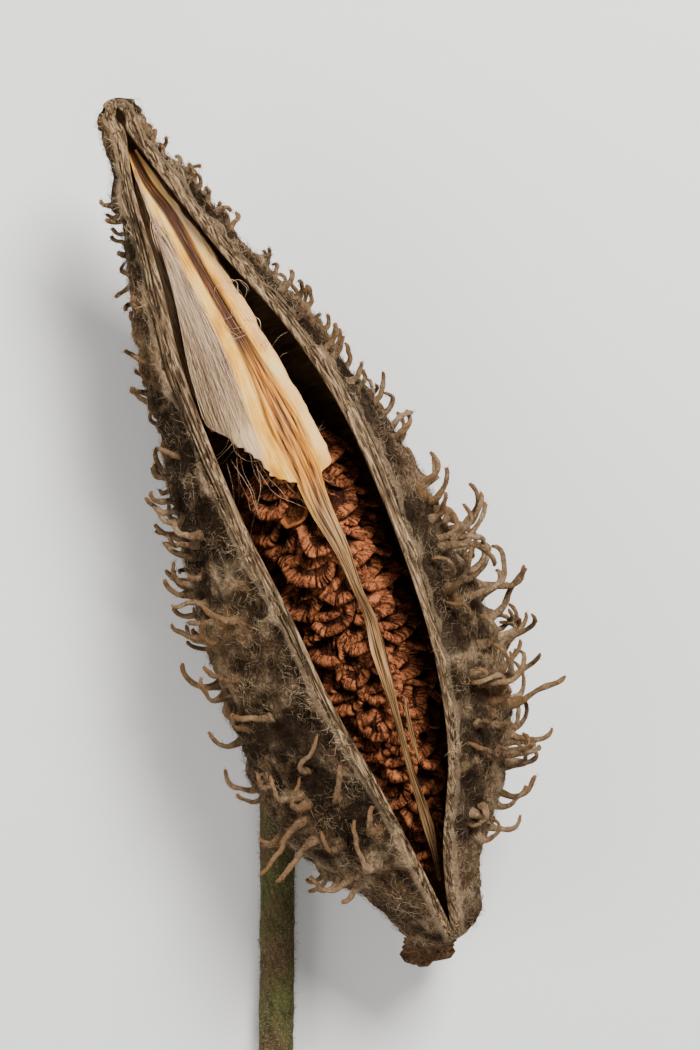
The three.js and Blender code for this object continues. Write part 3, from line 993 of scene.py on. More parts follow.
@dataclass
class Husk:
    """The dried follicle wall: woolly outside, bark rims along the split and a smooth lining."""

    form: HuskForm
    rings: int = 250
    outside: int = 200
    inside: int = 72
    across_rim: int = 14
    edge: float = 1.0
    ends: Pair = (-49.6, 49.3)
    # Rings that close each end: size as a share of the last full ring, and distance past it.
    rounding: Pairs = (
        (0.97, 0.12), (0.88, 0.28), (0.72, 0.42), (0.5, 0.52), (0.25, 0.58), (0.04, 0.6))
    tip_stretch: float = 1.6
    # Ridges across the rim, from the wool to the free edge: place, width and height.
    ridges: tuple[Triple, ...] = (
        (0.02, 0.1, 0.34), (0.3, 0.1, 0.3), (0.54, 0.1, 0.26), (0.86, 0.14, 0.34))
    # Grooves between the ridges: place and width.
    grooves: Pairs = ((0.17, 0.08), (0.42, 0.05), (0.66, 0.07))
    # Angles of the points that carry the rim over the free edge, in degrees.
    over_edge: tuple[float, ...] = (60.0, 25.0, -10.0, -45.0, -80.0)

    def stations(self) -> tuple[Array, Array]:
        """Spaces the rings, with rounded ends.

        Returns:
            The y of each ring, and how much it shrinks.
        """
        body = np.linspace(*self.ends, self.rings)
        size, beyond = np.array(self.rounding).T
        y = np.concatenate((body[0] - beyond[::-1], body, body[-1] + self.tip_stretch * beyond))
        return y, np.concatenate((size[::-1], np.ones(self.rings), size))

    def rim(self, which: Lip, y: Array) -> tuple[Array, Array]:
        """Lays the bark rim of one lip, from the wool to the free edge and over it.

        Args:
            which: The lip.
            y: One place along the pod for each ring, as a column.

        Returns:
            The points by ring, and how deep each lies in a groove or pit, which the bark darkens as painted
            shade.
        """
        t = np.linspace(0.0, 1.0, self.across_rim)[None, 1:]
        x_mid, z_mid, wide, high = self.form.section(y)
        free = self.form.lip(which, y)
        x = free + which.value * self.form.rim_span(which, y) * (1.0 - t)
        z = z_mid + high * np.sqrt(np.clip(1.0 - ((x - x_mid) / wide) ** 2, 0.0, 1.0))
        size = self.form.rim_span(which, y) / self.form.rim_width
        s = t + 0.09 * Grain(11 + which.value)(xyz(which.value * 9.0, y, 0.0), 7.0, 2)
        place = xyz(x, y, 0.0)
        broken = smooth_step(Grain(10)(place, (0.9, 9.0, 1.0), 2), -0.7, 0.3)
        groove = np.clip(sum(hump(s, *one) for one in self.grooves), 0.0, 1.0) * broken
        pit = smooth_step(Grain(12)(place, (0.3, 2.4, 1.0), 2), 0.25, 0.9)
        groove = np.maximum(groove * 0.9, 0.7 * pit)
        ridge = sum(high * hump(s, at, width) for at, width, high in self.ridges)
        fibre = 0.12 * Grain(7)(place, (0.3, 4.0, 1.0), 2) + 0.2 * Grain(8)(place, (1.0, 2.4, 1.0), 2)
        lift = self.form.relief(y, self.form.wool_edge(which, y)) * (1.0 - t)
        lift = lift + 0.8 * hump(y, 48.9, 0.55) - 0.5 * hump(y, 47.3, 0.7)
        z = z + size * (ridge - 0.48 * groove + fibre) + lift
        turn = np.radians(np.array(self.over_edge))[None]
        thick = self.edge * size * (1.0 + 0.2 * Grain(9)(place[:, -1:], 2.5, 2))
        ex = x[:, -1:] - which.value * 0.32 * size * np.cos(turn)
        ez = z[:, -1:] - thick / 2 + thick / 2 * np.sin(turn)
        return (np.concatenate((xyz(x, y, z), xyz(ex, y, ez)), axis=1),
                np.concatenate((groove, np.zeros_like(ex)), axis=1))

    def build(self) -> Piece:
        """Makes the husk as one closed skin and hides the plain one.

        Returns:
            The piece.
        """
        y, shrink = self.stations()
        column = y[:, None]
        share = np.linspace(0.0, 1.0, self.outside)[None]
        angle = self.form.around(column, share)
        welt = self.form.welt_height * self.form.welt(column, share)
        welt = welt * smooth_step(np.minimum(share, 1.0 - share), 0.0, 0.006)
        outer = self.form.point(column, angle, self.form.relief(column, angle) + welt)
        left, left_groove = self.rim(Lip.LEFT, column)
        right, right_groove = self.rim(Lip.RIGHT, column)
        x, _, wide, _ = self.form.section(column, self.form.wall)
        ends = [np.arcsin(np.clip((self.form.lip(which, column) + which.value * 0.5 - x) / wide, -0.98, 0.98))
                for which in Lip]
        inner_angle = mix(TURN + ends[0], ends[1], np.linspace(0.0, 1.0, self.inside)[None])
        inner = self.form.point(column, inner_angle, inset=self.form.wall)
        inner = inner + 0.15 * Grain(6)(inner, 2.5, 2)[..., None] * self.form.normal(column, inner_angle)
        loop = np.concatenate((outer, left, inner, right[:, ::-1]), axis=1)
        middle = loop.mean(axis=1, keepdims=True)
        factor = shrink[:, None, None]
        loop = middle + (loop - middle) * np.concatenate((factor, np.ones_like(factor), factor), axis=2)
        points, quads, caps = closed_tube(loop)
        rim = left.shape[1]
        kinds = np.repeat((0, 1, 2, 1), (self.outside - 1, rim + 1, self.inside - 1, rim + 1))
        kinds = np.concatenate((np.tile(kinds, len(y) - 1), np.zeros(len(caps), int)))
        groove, welt, hollow_shade = np.zeros((3, *loop.shape[:2]))
        groove[:, self.outside:self.outside + rim] = left_groove
        groove[:, -rim:] = right_groove[:, ::-1]
        welt[:, :self.outside] = self.form.welt(column, share)
        # How deep the wool lies between tufts, for its painted shade.
        hollow_shade[:, :self.outside] = self.form.hollow_shade(column, angle)
        clay = Clay()
        clay.add(points, quads, caps, finish=kinds, groove=capped(groove), tip=0.0, welt=capped(welt),
                 hollow_shade=capped(hollow_shade))
        made = clay.piece("husk_skin", [WoolFinish().material(), RimFinish().material(),
                                                LiningFinish().material()])
        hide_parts("husk")
        return made


@dataclass
class Spines:
    """Soft hooked spines on the husk's back and sides."""

    form: HuskForm
    # Three kinds of spines: how many, the y they run between, where they stand and how far they curl. The
    # scattered ones keep clear of each lip by a share of the way round; the others stand between degrees
    # from the front.
    scattered: int = 200
    lower: float = -40.0
    upper: float = 43.0
    edge: float = 0.15
    curl: Pair = (1.0, 2.6)
    stubs: int = 84
    stub_ends: Pair = (-10.0, 45.5)
    stub_arc: Pair = (58, 118)
    stub_curl: Pair = (0.8, 2.8)
    fringe: int = 38
    fringe_ends: Pair = (-41.0, -8.0)
    fringe_arc: Pair = (52, 116)
    fringe_curl: Pair = (1.2, 4.2)
    finish: WoolFinish = WoolFinish("woolly_spines", tint(66, 50, 36), tint(124, 97, 70), tint(172, 146, 114))
    sides: int = 9
    steps: int = 15
    length: Profile = Profile(((-45, 3.5), (-30, 7.5), (-10, 8), (2, 5.5), (15, 3.6), (30, 2.4), (46, 1.6)))
    stub: Profile = Profile(((-10, 4.6), (5, 3.9), (20, 3.0), (35, 2.4), (46, 1.7)))
    # Where no spine stands because the stalk lies there: y of its end, and the angles it lies between.
    over_stalk: Triple = (-14.0, math.radians(180), math.radians(262))
    # Spines past this angle, on the left, are shorter by this share.
    left_side: float = 3.9
    left_share: float = 0.68
    foot_thick: float = 1.0
    shown_thick: float = 0.66
    # Spines that the pod stands on: y, and degrees round the husk.
    feet: Pairs = (
        (-26, 148), (-13, 150), (0, 153), (12, 160), (-6, 212), (6, 206), (16, 190))
    # Spines of the side that shows: root x and y, tip x and y, and how far the spine rises from the husk.
    shown: tuple[tuple[float, float, float, float, float], ...] = (
        (-7.7, -26.0, -5.0, -22.9, 3.4), (-5.6, -30.0, -3.7, -26.3, 3.2), (-9.1, -29.5, -8.3, -26.2, 3.6),
        (-9.4, -28.3, -11.2, -24.9, 3.4), (-3.4, -34.7, -2.4, -31.8, 2.6), (-4.9, -38.4, -4.8, -33.0, 3.2),
        (-7.0, -34.9, -8.3, -32.6, 3.4), (-9.0, -19.2, -12.7, -17.0, 3.2), (-6.5, -40.0, -9.4, -41.2, 2.0),
        (-7.2, -39.0, -11.8, -37.4, 2.2), (-9.6, -33.4, -15.2, -36.2, 3.0), (-9.8, -31.0, -16.3, -34.6, 2.8),
        (-10.4, -14.0, -13.6, -11.2, 2.6), (-8.6, -8.0, -11.4, -5.2, 2.4), (-9.0, 2.0, -11.0, 4.6, 2.0),
        (13.2, -23.2, 13.4, -22.6, 2.6), (11.7, -28.2, 11.9, -27.8, 2.2), (8.1, -37.3, 8.4, -37.0, 2.2),
        (11.4, -32.0, 9.7, -29.6, 3.0), (14.4, -17.0, 13.0, -14.6, 3.0), (14.6, -12.0, 13.6, -9.4, 2.8),
        (15.0, -20.5, 16.4, -17.4, 3.4), (14.0, -26.6, 15.8, -23.8, 3.4), (12.6, -33.6, 15.6, -31.4, 3.0),
    )

    def foot(self, y: float, angle: float) -> Array:
        """Lays the path of a spine that the pod stands on, down to the table and outwards along it.

        Args:
            y: Place of its root along the pod.
            angle: Angle of its root round the pod.

        Returns:
            The points of its path.
        """
        out = self.form.normal(y, angle)
        root = self.form.point(y, angle) - 0.5 * out
        floor = root + out * (root[2] - 0.55) / max(-out[2], 0.3)
        aside = unit(np.array((out[0], 0.35, 0.0)))
        t = np.linspace(0.0, 1.0, self.steps)[:, None]
        bend = floor - 0.6 * out
        flat = bend + aside * 3.2 * np.maximum(t - 0.6, 0.0) / 0.4 - UP * smooth_step(t, 0.6, 0.8) * 0.6
        return np.where(t < 0.6, mix(root, bend, t / 0.6), flat)

    def along_table(self, path: Array, radii: Array) -> Array:
        """Bends whatever would reach into the table flat along it."""
        path[:, 2] = np.maximum(path[:, 2], radii)
        return path

    def hook(self, y: float, angle: float, length: float, towards: float, curl: float,
             seed: int) -> Array:
        """Lays the path of a spine that leaves the husk square to it and curls over.

        Args:
            y: Place of its root along the pod.
            angle: Angle of its root round the pod.
            length: Its length.
            towards: Direction that it curls to, as an angle from the tip's direction along the husk.
            curl: How far it turns in all.
            seed: Number that sets its small bends.

        Returns:
            The points of its path.
        """
        out = self.form.normal(y, angle)
        around = unit(self.form.point(y, angle + 0.05) - self.form.point(y, angle - 0.05))
        tipward = unit(np.cross(out, around))
        tipward = tipward if tipward[1] > 0 else -tipward
        aside = math.cos(towards) * tipward + math.sin(towards) * around
        t = np.linspace(0.0, 1.0, self.steps)
        turn = curl * t ** 1.4 + 0.45 * Grain(seed)(xyz(t * 4, 0.0, 0.0), 1.0)
        sway = 0.6 * Grain(seed + 500)(xyz(t * 3, 0.0, 0.0), 1.0)
        heading = (np.cos(turn)[:, None] * out + np.sin(turn)[:, None] * aside
                   + sway[:, None] * np.cross(out, aside))
        step = length / (self.steps - 1)
        start = self.form.point(y, angle, self.form.relief(y, angle)) - 0.4 * out
        return start + np.concatenate((np.zeros((1, 3)), np.cumsum(unit(heading)[:-1] * step, axis=0)))

    def reach(self, root_x: float, root_y: float, tip_x: float, tip_y: float, rise: float) -> Array:
        """Lays the path of a spine on the side that shows.

        Args:
            root_x: The x of its root.
            root_y: The y of its root.
            tip_x: The x of its tip.
            tip_y: The y of its tip.
            rise: How far it rises from the husk.

        Returns:
            The points of its path.
        """
        x, _, wide, _ = self.form.section(root_y)
        angle = float(np.arcsin(np.clip((root_x - x) / wide, -1.0, 1.0)))
        out = self.form.normal(root_y, angle)
        root = self.form.point(root_y, angle, self.form.relief(root_y, angle)) - 0.4 * out
        tip = np.array((tip_x, tip_y, root[2] + rise * max(out[2], 0.35)))
        bend = root + out * (rise * 1.15 + 0.7)
        t = np.linspace(0.0, 1.0, self.steps)[:, None]
        path = (1 - t) ** 2 * root + 2 * t * (1 - t) * bend + t * t * tip
        wobble = np.stack([Grain(700 + k)(path, 1.7, 2) for k in range(3)], axis=1)
        return path + 0.45 * wobble * smooth_step(t, 0.05, 0.5)

    def add(self, clay: Clay, path: Array, thick: float, seed: int) -> None:
        """Adds one spine with a flared root and a blunt tip.

        Args:
            clay: The mesh that takes it.
            path: The points that it follows.
            thick: About how thick it is.
            seed: Number that sets its lumps.
        """
        t = np.linspace(0.0, 1.0, len(path))
        radii = thick * (0.5 + 0.85 * np.exp(-t * 7.0) - 0.08 * t) * (1.0 + 0.16 * Grain(seed)(path, 0.9, 2))
        radii[-2:] *= (0.95, 0.6)
        rings = sweep(self.along_table(path, radii), radii, self.sides, flat=0.8)
        rings += 0.06 * Grain(seed + 3)(rings, 0.5)[..., None] * unit(rings - path[:, None])
        clay.add(*closed_tube(rings), tip=capped(np.repeat(t, self.sides), last=1.0), welt=0.0, hollow_shade=0.0)

    def build(self) -> tuple[Piece, list[Array]]:
        """Makes all spines as one piece.

        Returns:
            The piece, and the spines' paths for their wool.
        """
        rng = np.random.default_rng(41)
        clay = Clay()
        paths: list[tuple[Array, float]] = []
        for i in range(self.scattered):
            y = mix(self.lower, self.upper, (0.5 + i * STEP_ALONG) % 1.0)
            share = mix(self.edge, 1.0 - self.edge, (0.5 + i * STEP_AROUND) % 1.0)
            angle = float(self.form.around(y, share))
            if y < self.over_stalk[0] and self.over_stalk[1] < angle < self.over_stalk[2]:
                continue
            length = float(self.length(y)) * rng.uniform(0.65, 1.2)
            length *= self.left_share if angle > self.left_side else 1.0
            path = self.hook(y, angle, length, rng.normal(0.0, 0.6), rng.uniform(*self.curl), i + 100)
            paths.append((path, 0.42 + 0.034 * length))
        for i in range(self.fringe):
            y = mix(*self.fringe_ends, rng.uniform())
            length = float(self.length(y)) * rng.uniform(0.6, 1.2)
            path = self.hook(y, math.radians(rng.uniform(*self.fringe_arc)), length, rng.normal(0.0, 1.0),
                             rng.uniform(*self.fringe_curl), i + 400)
            paths.append((path, 0.4 + 0.03 * length))
        for i in range(self.stubs):
            y = mix(*self.stub_ends, (0.5 + i * STEP_ALONG) % 1.0)
            angle = math.radians(rng.uniform(*self.stub_arc))
            length = float(self.stub(y)) * rng.uniform(0.7, 1.3)
            path = self.hook(y, angle if i % 2 else TURN - angle, length, rng.normal(0.0, 0.8),
                             rng.uniform(*self.stub_curl), i + 600)
            paths.append((path, 0.5 + 0.03 * length))
        for y, turn in self.feet:
            paths.append((self.foot(y, math.radians(turn)), self.foot_thick))
        for spot in self.shown:
            paths.append((self.reach(*spot), self.shown_thick))
        for i, (path, thick) in enumerate(paths):
            self.add(clay, path, thick, i + 1000)
        made = clay.piece("husk_spines", [self.finish.material()])
        return made, [path for path, _ in paths]


@dataclass
class Wool:
    """Felted wool on the husk and its spines: short hairs, and longer curled ones that lie over them."""

    form: HuskForm
    short: int = 20500
    curled: int = 18500
    on_spine: int = 56
    short_length: Pair = (0.3, 0.9)
    curl_length: Pair = (0.8, 2.0)
    spine_length: Pair = (0.3, 0.8)
    spine_depth: float = 0.2
    ends: Pair = (-49.3, 49.3)
    finish: FibreFinish = FibreFinish("wool_hairs", tint(184, 160, 127), tint(50, 37, 25))
    brown: FibreFinish = FibreFinish("spine_hairs", tint(166, 134, 98), tint(84, 61, 42))

    def roots(self, count: int, rng: np.random.Generator) -> tuple[Array, Array, Array]:
        """Scatters hair roots evenly over the outside.

        Args:
            count: How many.
            rng: Source of their places.

        Returns:
            Their places, the outward direction at each, and how pale the wool is there: paler along the welt
            and darker in the hollows between tufts as painted shade.
        """
        places = np.linspace(*self.ends, 600)
        weight = self.form.section(places)[2] + self.form.section(places)[3]
        y = rng.choice(places, count, p=weight / weight.sum()) + rng.uniform(-0.1, 0.1, count)
        share = rng.uniform(-0.006, 1.006, count)
        angle = self.form.around(y, share)
        out = self.form.normal(y, angle)
        welt = self.form.welt(y, share)
        height = self.form.relief(y, angle) + self.form.welt_height * welt
        place = self.form.point(y, angle, height) - 0.05 * out
        # The hollows between tufts make the hairs darker, as painted shade.
        return place, out, 0.6 * welt - 0.5 * self.form.hollow_shade(y, angle)

    def build(self, spines: list[Array]) -> list[Piece]:
        """Makes the hairs.

        Args:
            spines: Paths of the spines that carry wool too.

        Returns:
            The pieces.
        """
        rng = np.random.default_rng(7)
        base, out, paler = self.roots(self.short, rng)
        lean = unit(rng.normal(size=base.shape) + (0.0, 0.4, 0.0))
        lean = unit(out * rng.uniform(0.2, 1.0, (self.short, 1)) + lean)
        tip = base + lean * rng.uniform(*self.short_length, (self.short, 1))
        short = hair_piece("husk_wool", self.finish, np.stack((base, tip), axis=1), rng, paler)
        base, out, paler = self.roots(self.curled, rng)
        aside = rng.normal(size=base.shape) + (0.0, 0.5, 0.0)
        aside = unit(aside - out * np.sum(aside * out, axis=1, keepdims=True))
        swing = np.cross(out, aside) * rng.normal(0.0, 0.35, (self.curled, 1))
        length = rng.uniform(*self.curl_length, (self.curled, 1))
        middle = base + length * (0.5 * aside + 0.8 * swing) + out * rng.uniform(0.15, 0.5, (self.curled, 1))
        tip = base + length * (aside - 0.3 * swing) + out * rng.uniform(0.0, 0.5, (self.curled, 1))
        joints = np.stack((base, middle, tip), axis=1)
        curled = hair_piece("husk_curls", self.finish, joints, rng, paler)
        root, end = [], []
        for path in spines:
            at = rng.integers(0, len(path) - 1, self.on_spine)
            side = unit(rng.normal(size=(self.on_spine, 3)))
            along = path[at + 1] - path[at]
            root.append(path[at] + along * rng.uniform(size=(self.on_spine, 1)) + side * self.spine_depth)
            lean = unit(0.7 * side + 1.2 * unit(along) + 0.5 * rng.normal(size=side.shape))
            end.append(root[-1] + lean * rng.uniform(*self.spine_length, (self.on_spine, 1)))
        joints = np.stack((np.concatenate(root), np.concatenate(end)), axis=1)
        return [short, curled, hair_piece("spine_wool", self.brown, joints, rng)]


@dataclass(frozen=True)
class SeedBed:
    """The oval core that the shingled seeds lie on."""

    lift: float = 0.45
    slope: float = 0.36
    seed_length: float = 6.4
    seed_width: float = 4.3
    thickness: float = 0.7
    pitch: float = 2.95
    gap: float = 0.3
    belly: float = HuskForm.belly
    wall: float = 1.4
    back: Profile = HuskForm.back
    x: Profile = Profile(
        ((-41, 1.4), (-35, 2.2), (-28, 2.8), (-20, 3), (-10, 3.2), (0, 3.4), (8, 3.6), (13, 3.4)))
    wide: Profile = Profile(
        ((-41, 0.5), (-35, 1.8), (-28, 3.2), (-20, 4.2), (-10, 4.5), (0, 4.3), (8, 3.6), (13, 2.4)))
    high: Profile = Profile(
        ((-41, 1), (-35, 3.2), (-28, 5), (-20, 6.2), (-10, 6.5), (0, 6.2), (8, 5), (13, 3.2)))
    row_count: int = 16
    first_row: float = 7.5

    @property
    def layer(self) -> float:
        """Thickness of the layer of shingled seeds."""
        return self.lift + self.slope * self.seed_length + self.thickness / 2

    def z(self, y: Number) -> Array:
        """Gives the height of the core's middle."""
        return self.belly + self.back(y) + self.wall + self.gap + self.high(y) + self.layer

    def point(self, y: Number, angle: Number, height: Number) -> Array:
        """Gives places at an angle round the core and a height above it."""
        return xyz(self.x(y) + (self.wide(y) + height) * np.sin(angle), y,
                   self.z(y) + (self.high(y) + height) * np.cos(angle))

    def radius(self, y: Number) -> Array:
        """Gives the layer's mean radius, which turns a width into an angle."""
        return (self.wide(y) + self.high(y) + self.layer) / 2

    def rows(self, left: float, right: float) -> list[Pair]:
        """Places the shingled seeds, row by row from the tip side to the base.

        Args:
            left: Angle round the core at which each row starts.
            right: Angle at which it ends.

        Returns:
            The y and angle of each seed.
        """
        spots = []
        for row in range(self.row_count):
            y = self.first_row - row * self.pitch
            step = (self.seed_width + self.gap) / float(self.radius(y))
            angle = left + (row % 2) * step * 0.5
            while angle <= right:
                spots.append((y, angle))
                angle += step
        return spots


@dataclass
class Seeds:
    """Flat wrinkled seeds with a rolled margin that is cracked into blocks, lying like shingles."""

    bed: SeedBed
    around: int = 60
    crack: float = 0.05
    margin: float = 0.95
    thin_margin: float = 0.36
    ribbon_angle: float = 0.22
    # Angles round the core between which seeds show, and between which the deeper ones are packed.
    shown: Pair = (math.radians(-55), math.radians(62))
    packed: Pair = (math.radians(-118), math.radians(120))
    core_ends: Pair = (-40.5, 12.5)
    cracks: tuple[int, int] = (5, 10)
    # Rings of a seed as shares of its reach, over its top from the middle to the edge and back below.
    top: tuple[float, ...] = (
        0.1, 0.24, 0.36, 0.45, 0.52, 0.58, 0.64, 0.7, 0.76, 0.82, 0.88, 0.93, 0.965, 0.988, 1.0)
    under: tuple[float, ...] = (0.97, 0.88, 0.6, 0.2)
    finish: SeedFinish = SeedFinish()
    # Places, as x and y, of the seeds whose margin has dried to a thin upright edge.
    thin: Pairs = ((1.4, 0.4), (7.0, -23.8))

    def outline(self, rng: np.random.Generator, count: int, cracks: int) -> tuple[Array, ...]:
        """Spaces points round a seed, close together at each crack across its margin.

        Args:
            rng: Source of the cracks' places.
            count: How many points stand away from the cracks.
            cracks: How many cracks there are.

        Returns:
            The angle of each point from the round end, how deep it lies in a crack, the number of its
            block, its angle from the block's middle, and how far the block's straight edge lies within the
            round one.
        """
        at = np.sort(rng.uniform(-2.8, 2.8, cracks))
        even = np.linspace(-math.pi, math.pi, count, endpoint=False)
        even = even[np.abs(even[:, None] - at).min(axis=1) > 1.5 * self.crack]
        turn = np.sort(np.concatenate((even, at - self.crack, at, at + self.crack)))
        split = np.exp(-(np.abs(turn[:, None] - at).min(axis=1) / (0.4 * self.crack)) ** 2)
        block = np.searchsorted(at, turn)
        bounds = np.concatenate(((-math.pi,), at, (math.pi,)))
        half = np.minimum((bounds[block + 1] - bounds[block]) / 2, 0.65)
        off = np.clip(turn - (bounds[block + 1] + bounds[block]) / 2, -half, half)
        return turn[None], split[None], block[None], off[None], (1.0 - np.cos(half) / np.cos(off))[None]

    def fan(self, angle: float) -> float:
        """Gives how far a seed turns its round end away from the ribbon."""
        beside = angle - self.ribbon_angle
        return 0.7 * smooth_step(beside, 0.0, 0.7) - 0.22 * smooth_step(-beside, 0.0, 0.9)

    def add(self, clay: Clay, y: float, angle: float, seed: int, sunk: float = 0.0, coarse: bool = False,
            thin: bool = False) -> None:
        """Adds one seed.

        Args:
            clay: The mesh that takes it.
            y: Place of its middle along the pod.
            angle: Its angle round the core.
            seed: Number that sets its own shape.
            sunk: How far it lies below its row.
            coarse: Whether it gets fewer faces, because others cover most of it.
            thin: Whether its margin is a thin upright edge.
        """
        rng = np.random.default_rng(seed)
        top = self.top[2::3] if coarse else self.top
        reach = np.array(top + self.under)[:, None]
        cracks = 2 if coarse else rng.integers(*self.cracks)
        turn, split, block, off, cut = self.outline(rng, 24 if coarse else self.around, cracks)
        ring = xyz(np.cos(turn) * 2.2, np.sin(turn) * 2.2, seed * 3.7)
        shift, tilt = rng.normal(0.0, 1.0, (2, block.max() + 1))[:, block]
        edge = 1.05 + 0.09 * Grain(seed)(ring, 1.6) + 0.04 * shift - 0.06 * split - 0.6 * cut
        length = self.bed.seed_length * rng.uniform(1.0, 1.18)
        width = self.bed.seed_width * rng.uniform(1.15, 1.4)
        if thin:
            length, width = 0.8 * length, 0.62 * width
        ahead, across = np.cos(turn), np.sign(np.sin(turn)) * np.abs(np.sin(turn)) ** 0.8
        half = np.stack((length / 2 * ahead, width / 2 * across * (1.0 + 0.16 * ahead)), axis=-1)
        far = edge[..., None] * half
        along, aside = reach * far[..., 0], reach * far[..., 1]
        inset = (1.0 - reach) * np.linalg.norm(far, axis=-1)
        place = xyz(along, aside, seed * 5.1)
        fold = Grain(seed + 2)(place, (0.9, 0.6, 1.0), 3)
        fine = Grain(seed + 4)(place, 0.4, 2)
        share = inset / (self.thin_margin if thin else self.margin)
        share = share / (1.0 + 0.25 * Grain(seed + 5)(ring, 1.3, 2))
        rim = 1.0 - smooth_step(share + 0.15 * fold, 0.9, 1.4)
        crown = np.clip(1.0 - 2.0 * (share - 0.5) ** 2, 0.3, 1.0)
        slab = 0.1 * shift + 0.26 * tilt * off - 0.6 * split
        crease = 0.3 - np.abs(Grain(seed + 6)(xyz(turn * 2.6, 0.0, seed), 0.8, 2))
        rolled = (0.4 if thin else 0.5) * crown + slab + 0.14 * fine + 0.3 * crease
        sunken = -0.34 + 0.8 * (0.32 - np.abs(fold)) + 0.12 * fine
        shoulder = np.sqrt(1.0 - (1.0 - np.clip(inset / 0.26, 0.0, 1.0)) ** 2)
        height = mix(-0.08, mix(sunken, rolled, rim), shoulder)
        lower = np.zeros_like(reach)
        lower[len(top):] = 1.0
        height = mix(height, -0.15 - 0.5 * (1.0 - reach ** 2), lower)
        spin = self.fan(angle) + rng.normal(0.0, 0.24)
        u = math.cos(spin) * along - math.sin(spin) * aside
        v = math.sin(spin) * along + math.cos(spin) * aside
        bow = rng.uniform(-0.04, 0.08) * v ** 2 - rng.uniform(0.0, 0.05) * np.maximum(u, 0.0) ** 2
        beside = angle - self.ribbon_angle
        climb = self.bed.slope * rng.uniform(0.85, 1.2) * (1.0 + 0.8 * smooth_step(beside, 0.0, 0.5))
        level = self.bed.lift + self.bed.slope * self.bed.seed_length + climb * (u - self.bed.seed_length / 2)
        level = level + height + bow - sunk + rng.normal(0.0, 0.12)
        level = level + (0.4 * min(beside, 0.0) + rng.normal(0.06, 0.1)) * v
        rings = self.bed.point(y - u, angle + v / float(self.bed.radius(y)), level)
        step = np.linalg.norm(np.diff(far, axis=1, prepend=far[:, :1]), axis=-1)
        arc = np.cumsum(step, axis=1) + seed * 11.3
        # Cracks across the margin lose the margin colour and come out darker, as painted shade.
        raised = np.where(lower > 0, 0.3, rim * (1.0 - split) + 0.2 * (1.0 - rim))
        marks = {"raised": np.clip(raised, 0.0, 1.0), "arc": arc, "inset": inset, "thin": np.float64(thin)}
        ends = {"raised": 0.2, "arc": 0.0, "inset": 3.0, "thin": 0.0}
        clay.add(*closed_tube(rings), **{
            name: capped(np.broadcast_to(values, along.shape), ends[name], ends[name])
            for name, values in marks.items()})

    def build(self) -> list[Piece]:
        """Makes each seed that shows as a piece of its own.

        Returns:
            The pieces.
        """
        material = self.finish.material()
        spots = self.bed.rows(*self.shown)
        tops = np.array([self.bed.point(y, angle, self.bed.layer)[:2] for y, angle in spots])
        thin = {int(np.argmin(np.linalg.norm(tops - spot, axis=1))) for spot in self.thin}
        made = []
        for i, (y, angle) in enumerate(spots):
            clay = Clay()
            self.add(clay, y, angle, i + 20, thin=i in thin)
            name = f"seed_{i + 1:02d}"
            made.append(clay.piece(name + "_coat", [material]))
            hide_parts(name)
        return made

    def build_deep(self) -> Piece:
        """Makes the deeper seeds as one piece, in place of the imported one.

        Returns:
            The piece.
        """
        material = self.finish.material()
        clay = Clay()
        y = np.linspace(*self.core_ends, 90)[:, None]
        angle = (np.arange(60) / 60 * TURN)[None]
        at_back = smooth_step(-np.cos(angle), 0.25, 0.8)
        height = mix(-0.2, np.minimum(self.bed.layer, self.bed.high(y)) - 0.3, at_back)
        height = np.maximum(height, 0.3 - self.bed.wide(y))
        rings = self.bed.point(y, angle, height)
        bumps = Grain(61)(rings, (1.6, 1.0, 1.6), 3)
        rings = self.bed.point(y, angle, height + 0.35 * bumps - 0.1)
        raised = capped(0.35 + 0.3 * bumps, 0.3, 0.3)
        clay.add(*closed_tube(rings), raised=raised, arc=0.0, inset=0.0, thin=0.0)
        rng = np.random.default_rng(3)
        for i, (y_row, turn) in enumerate(self.bed.rows(*self.packed)):
            outside = turn < self.shown[0] - 0.25 or turn > self.shown[1] + 0.25
            shift, sunk = (0.0, 0.15) if outside else (self.bed.pitch * 0.5, 0.55)
            self.add(clay, y_row - shift, turn + rng.normal(0.0, 0.08), i + 300, sunk, coarse=True)
        made = clay.piece("deep_seeds", [material])
        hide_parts("inner_seeds")
        return made


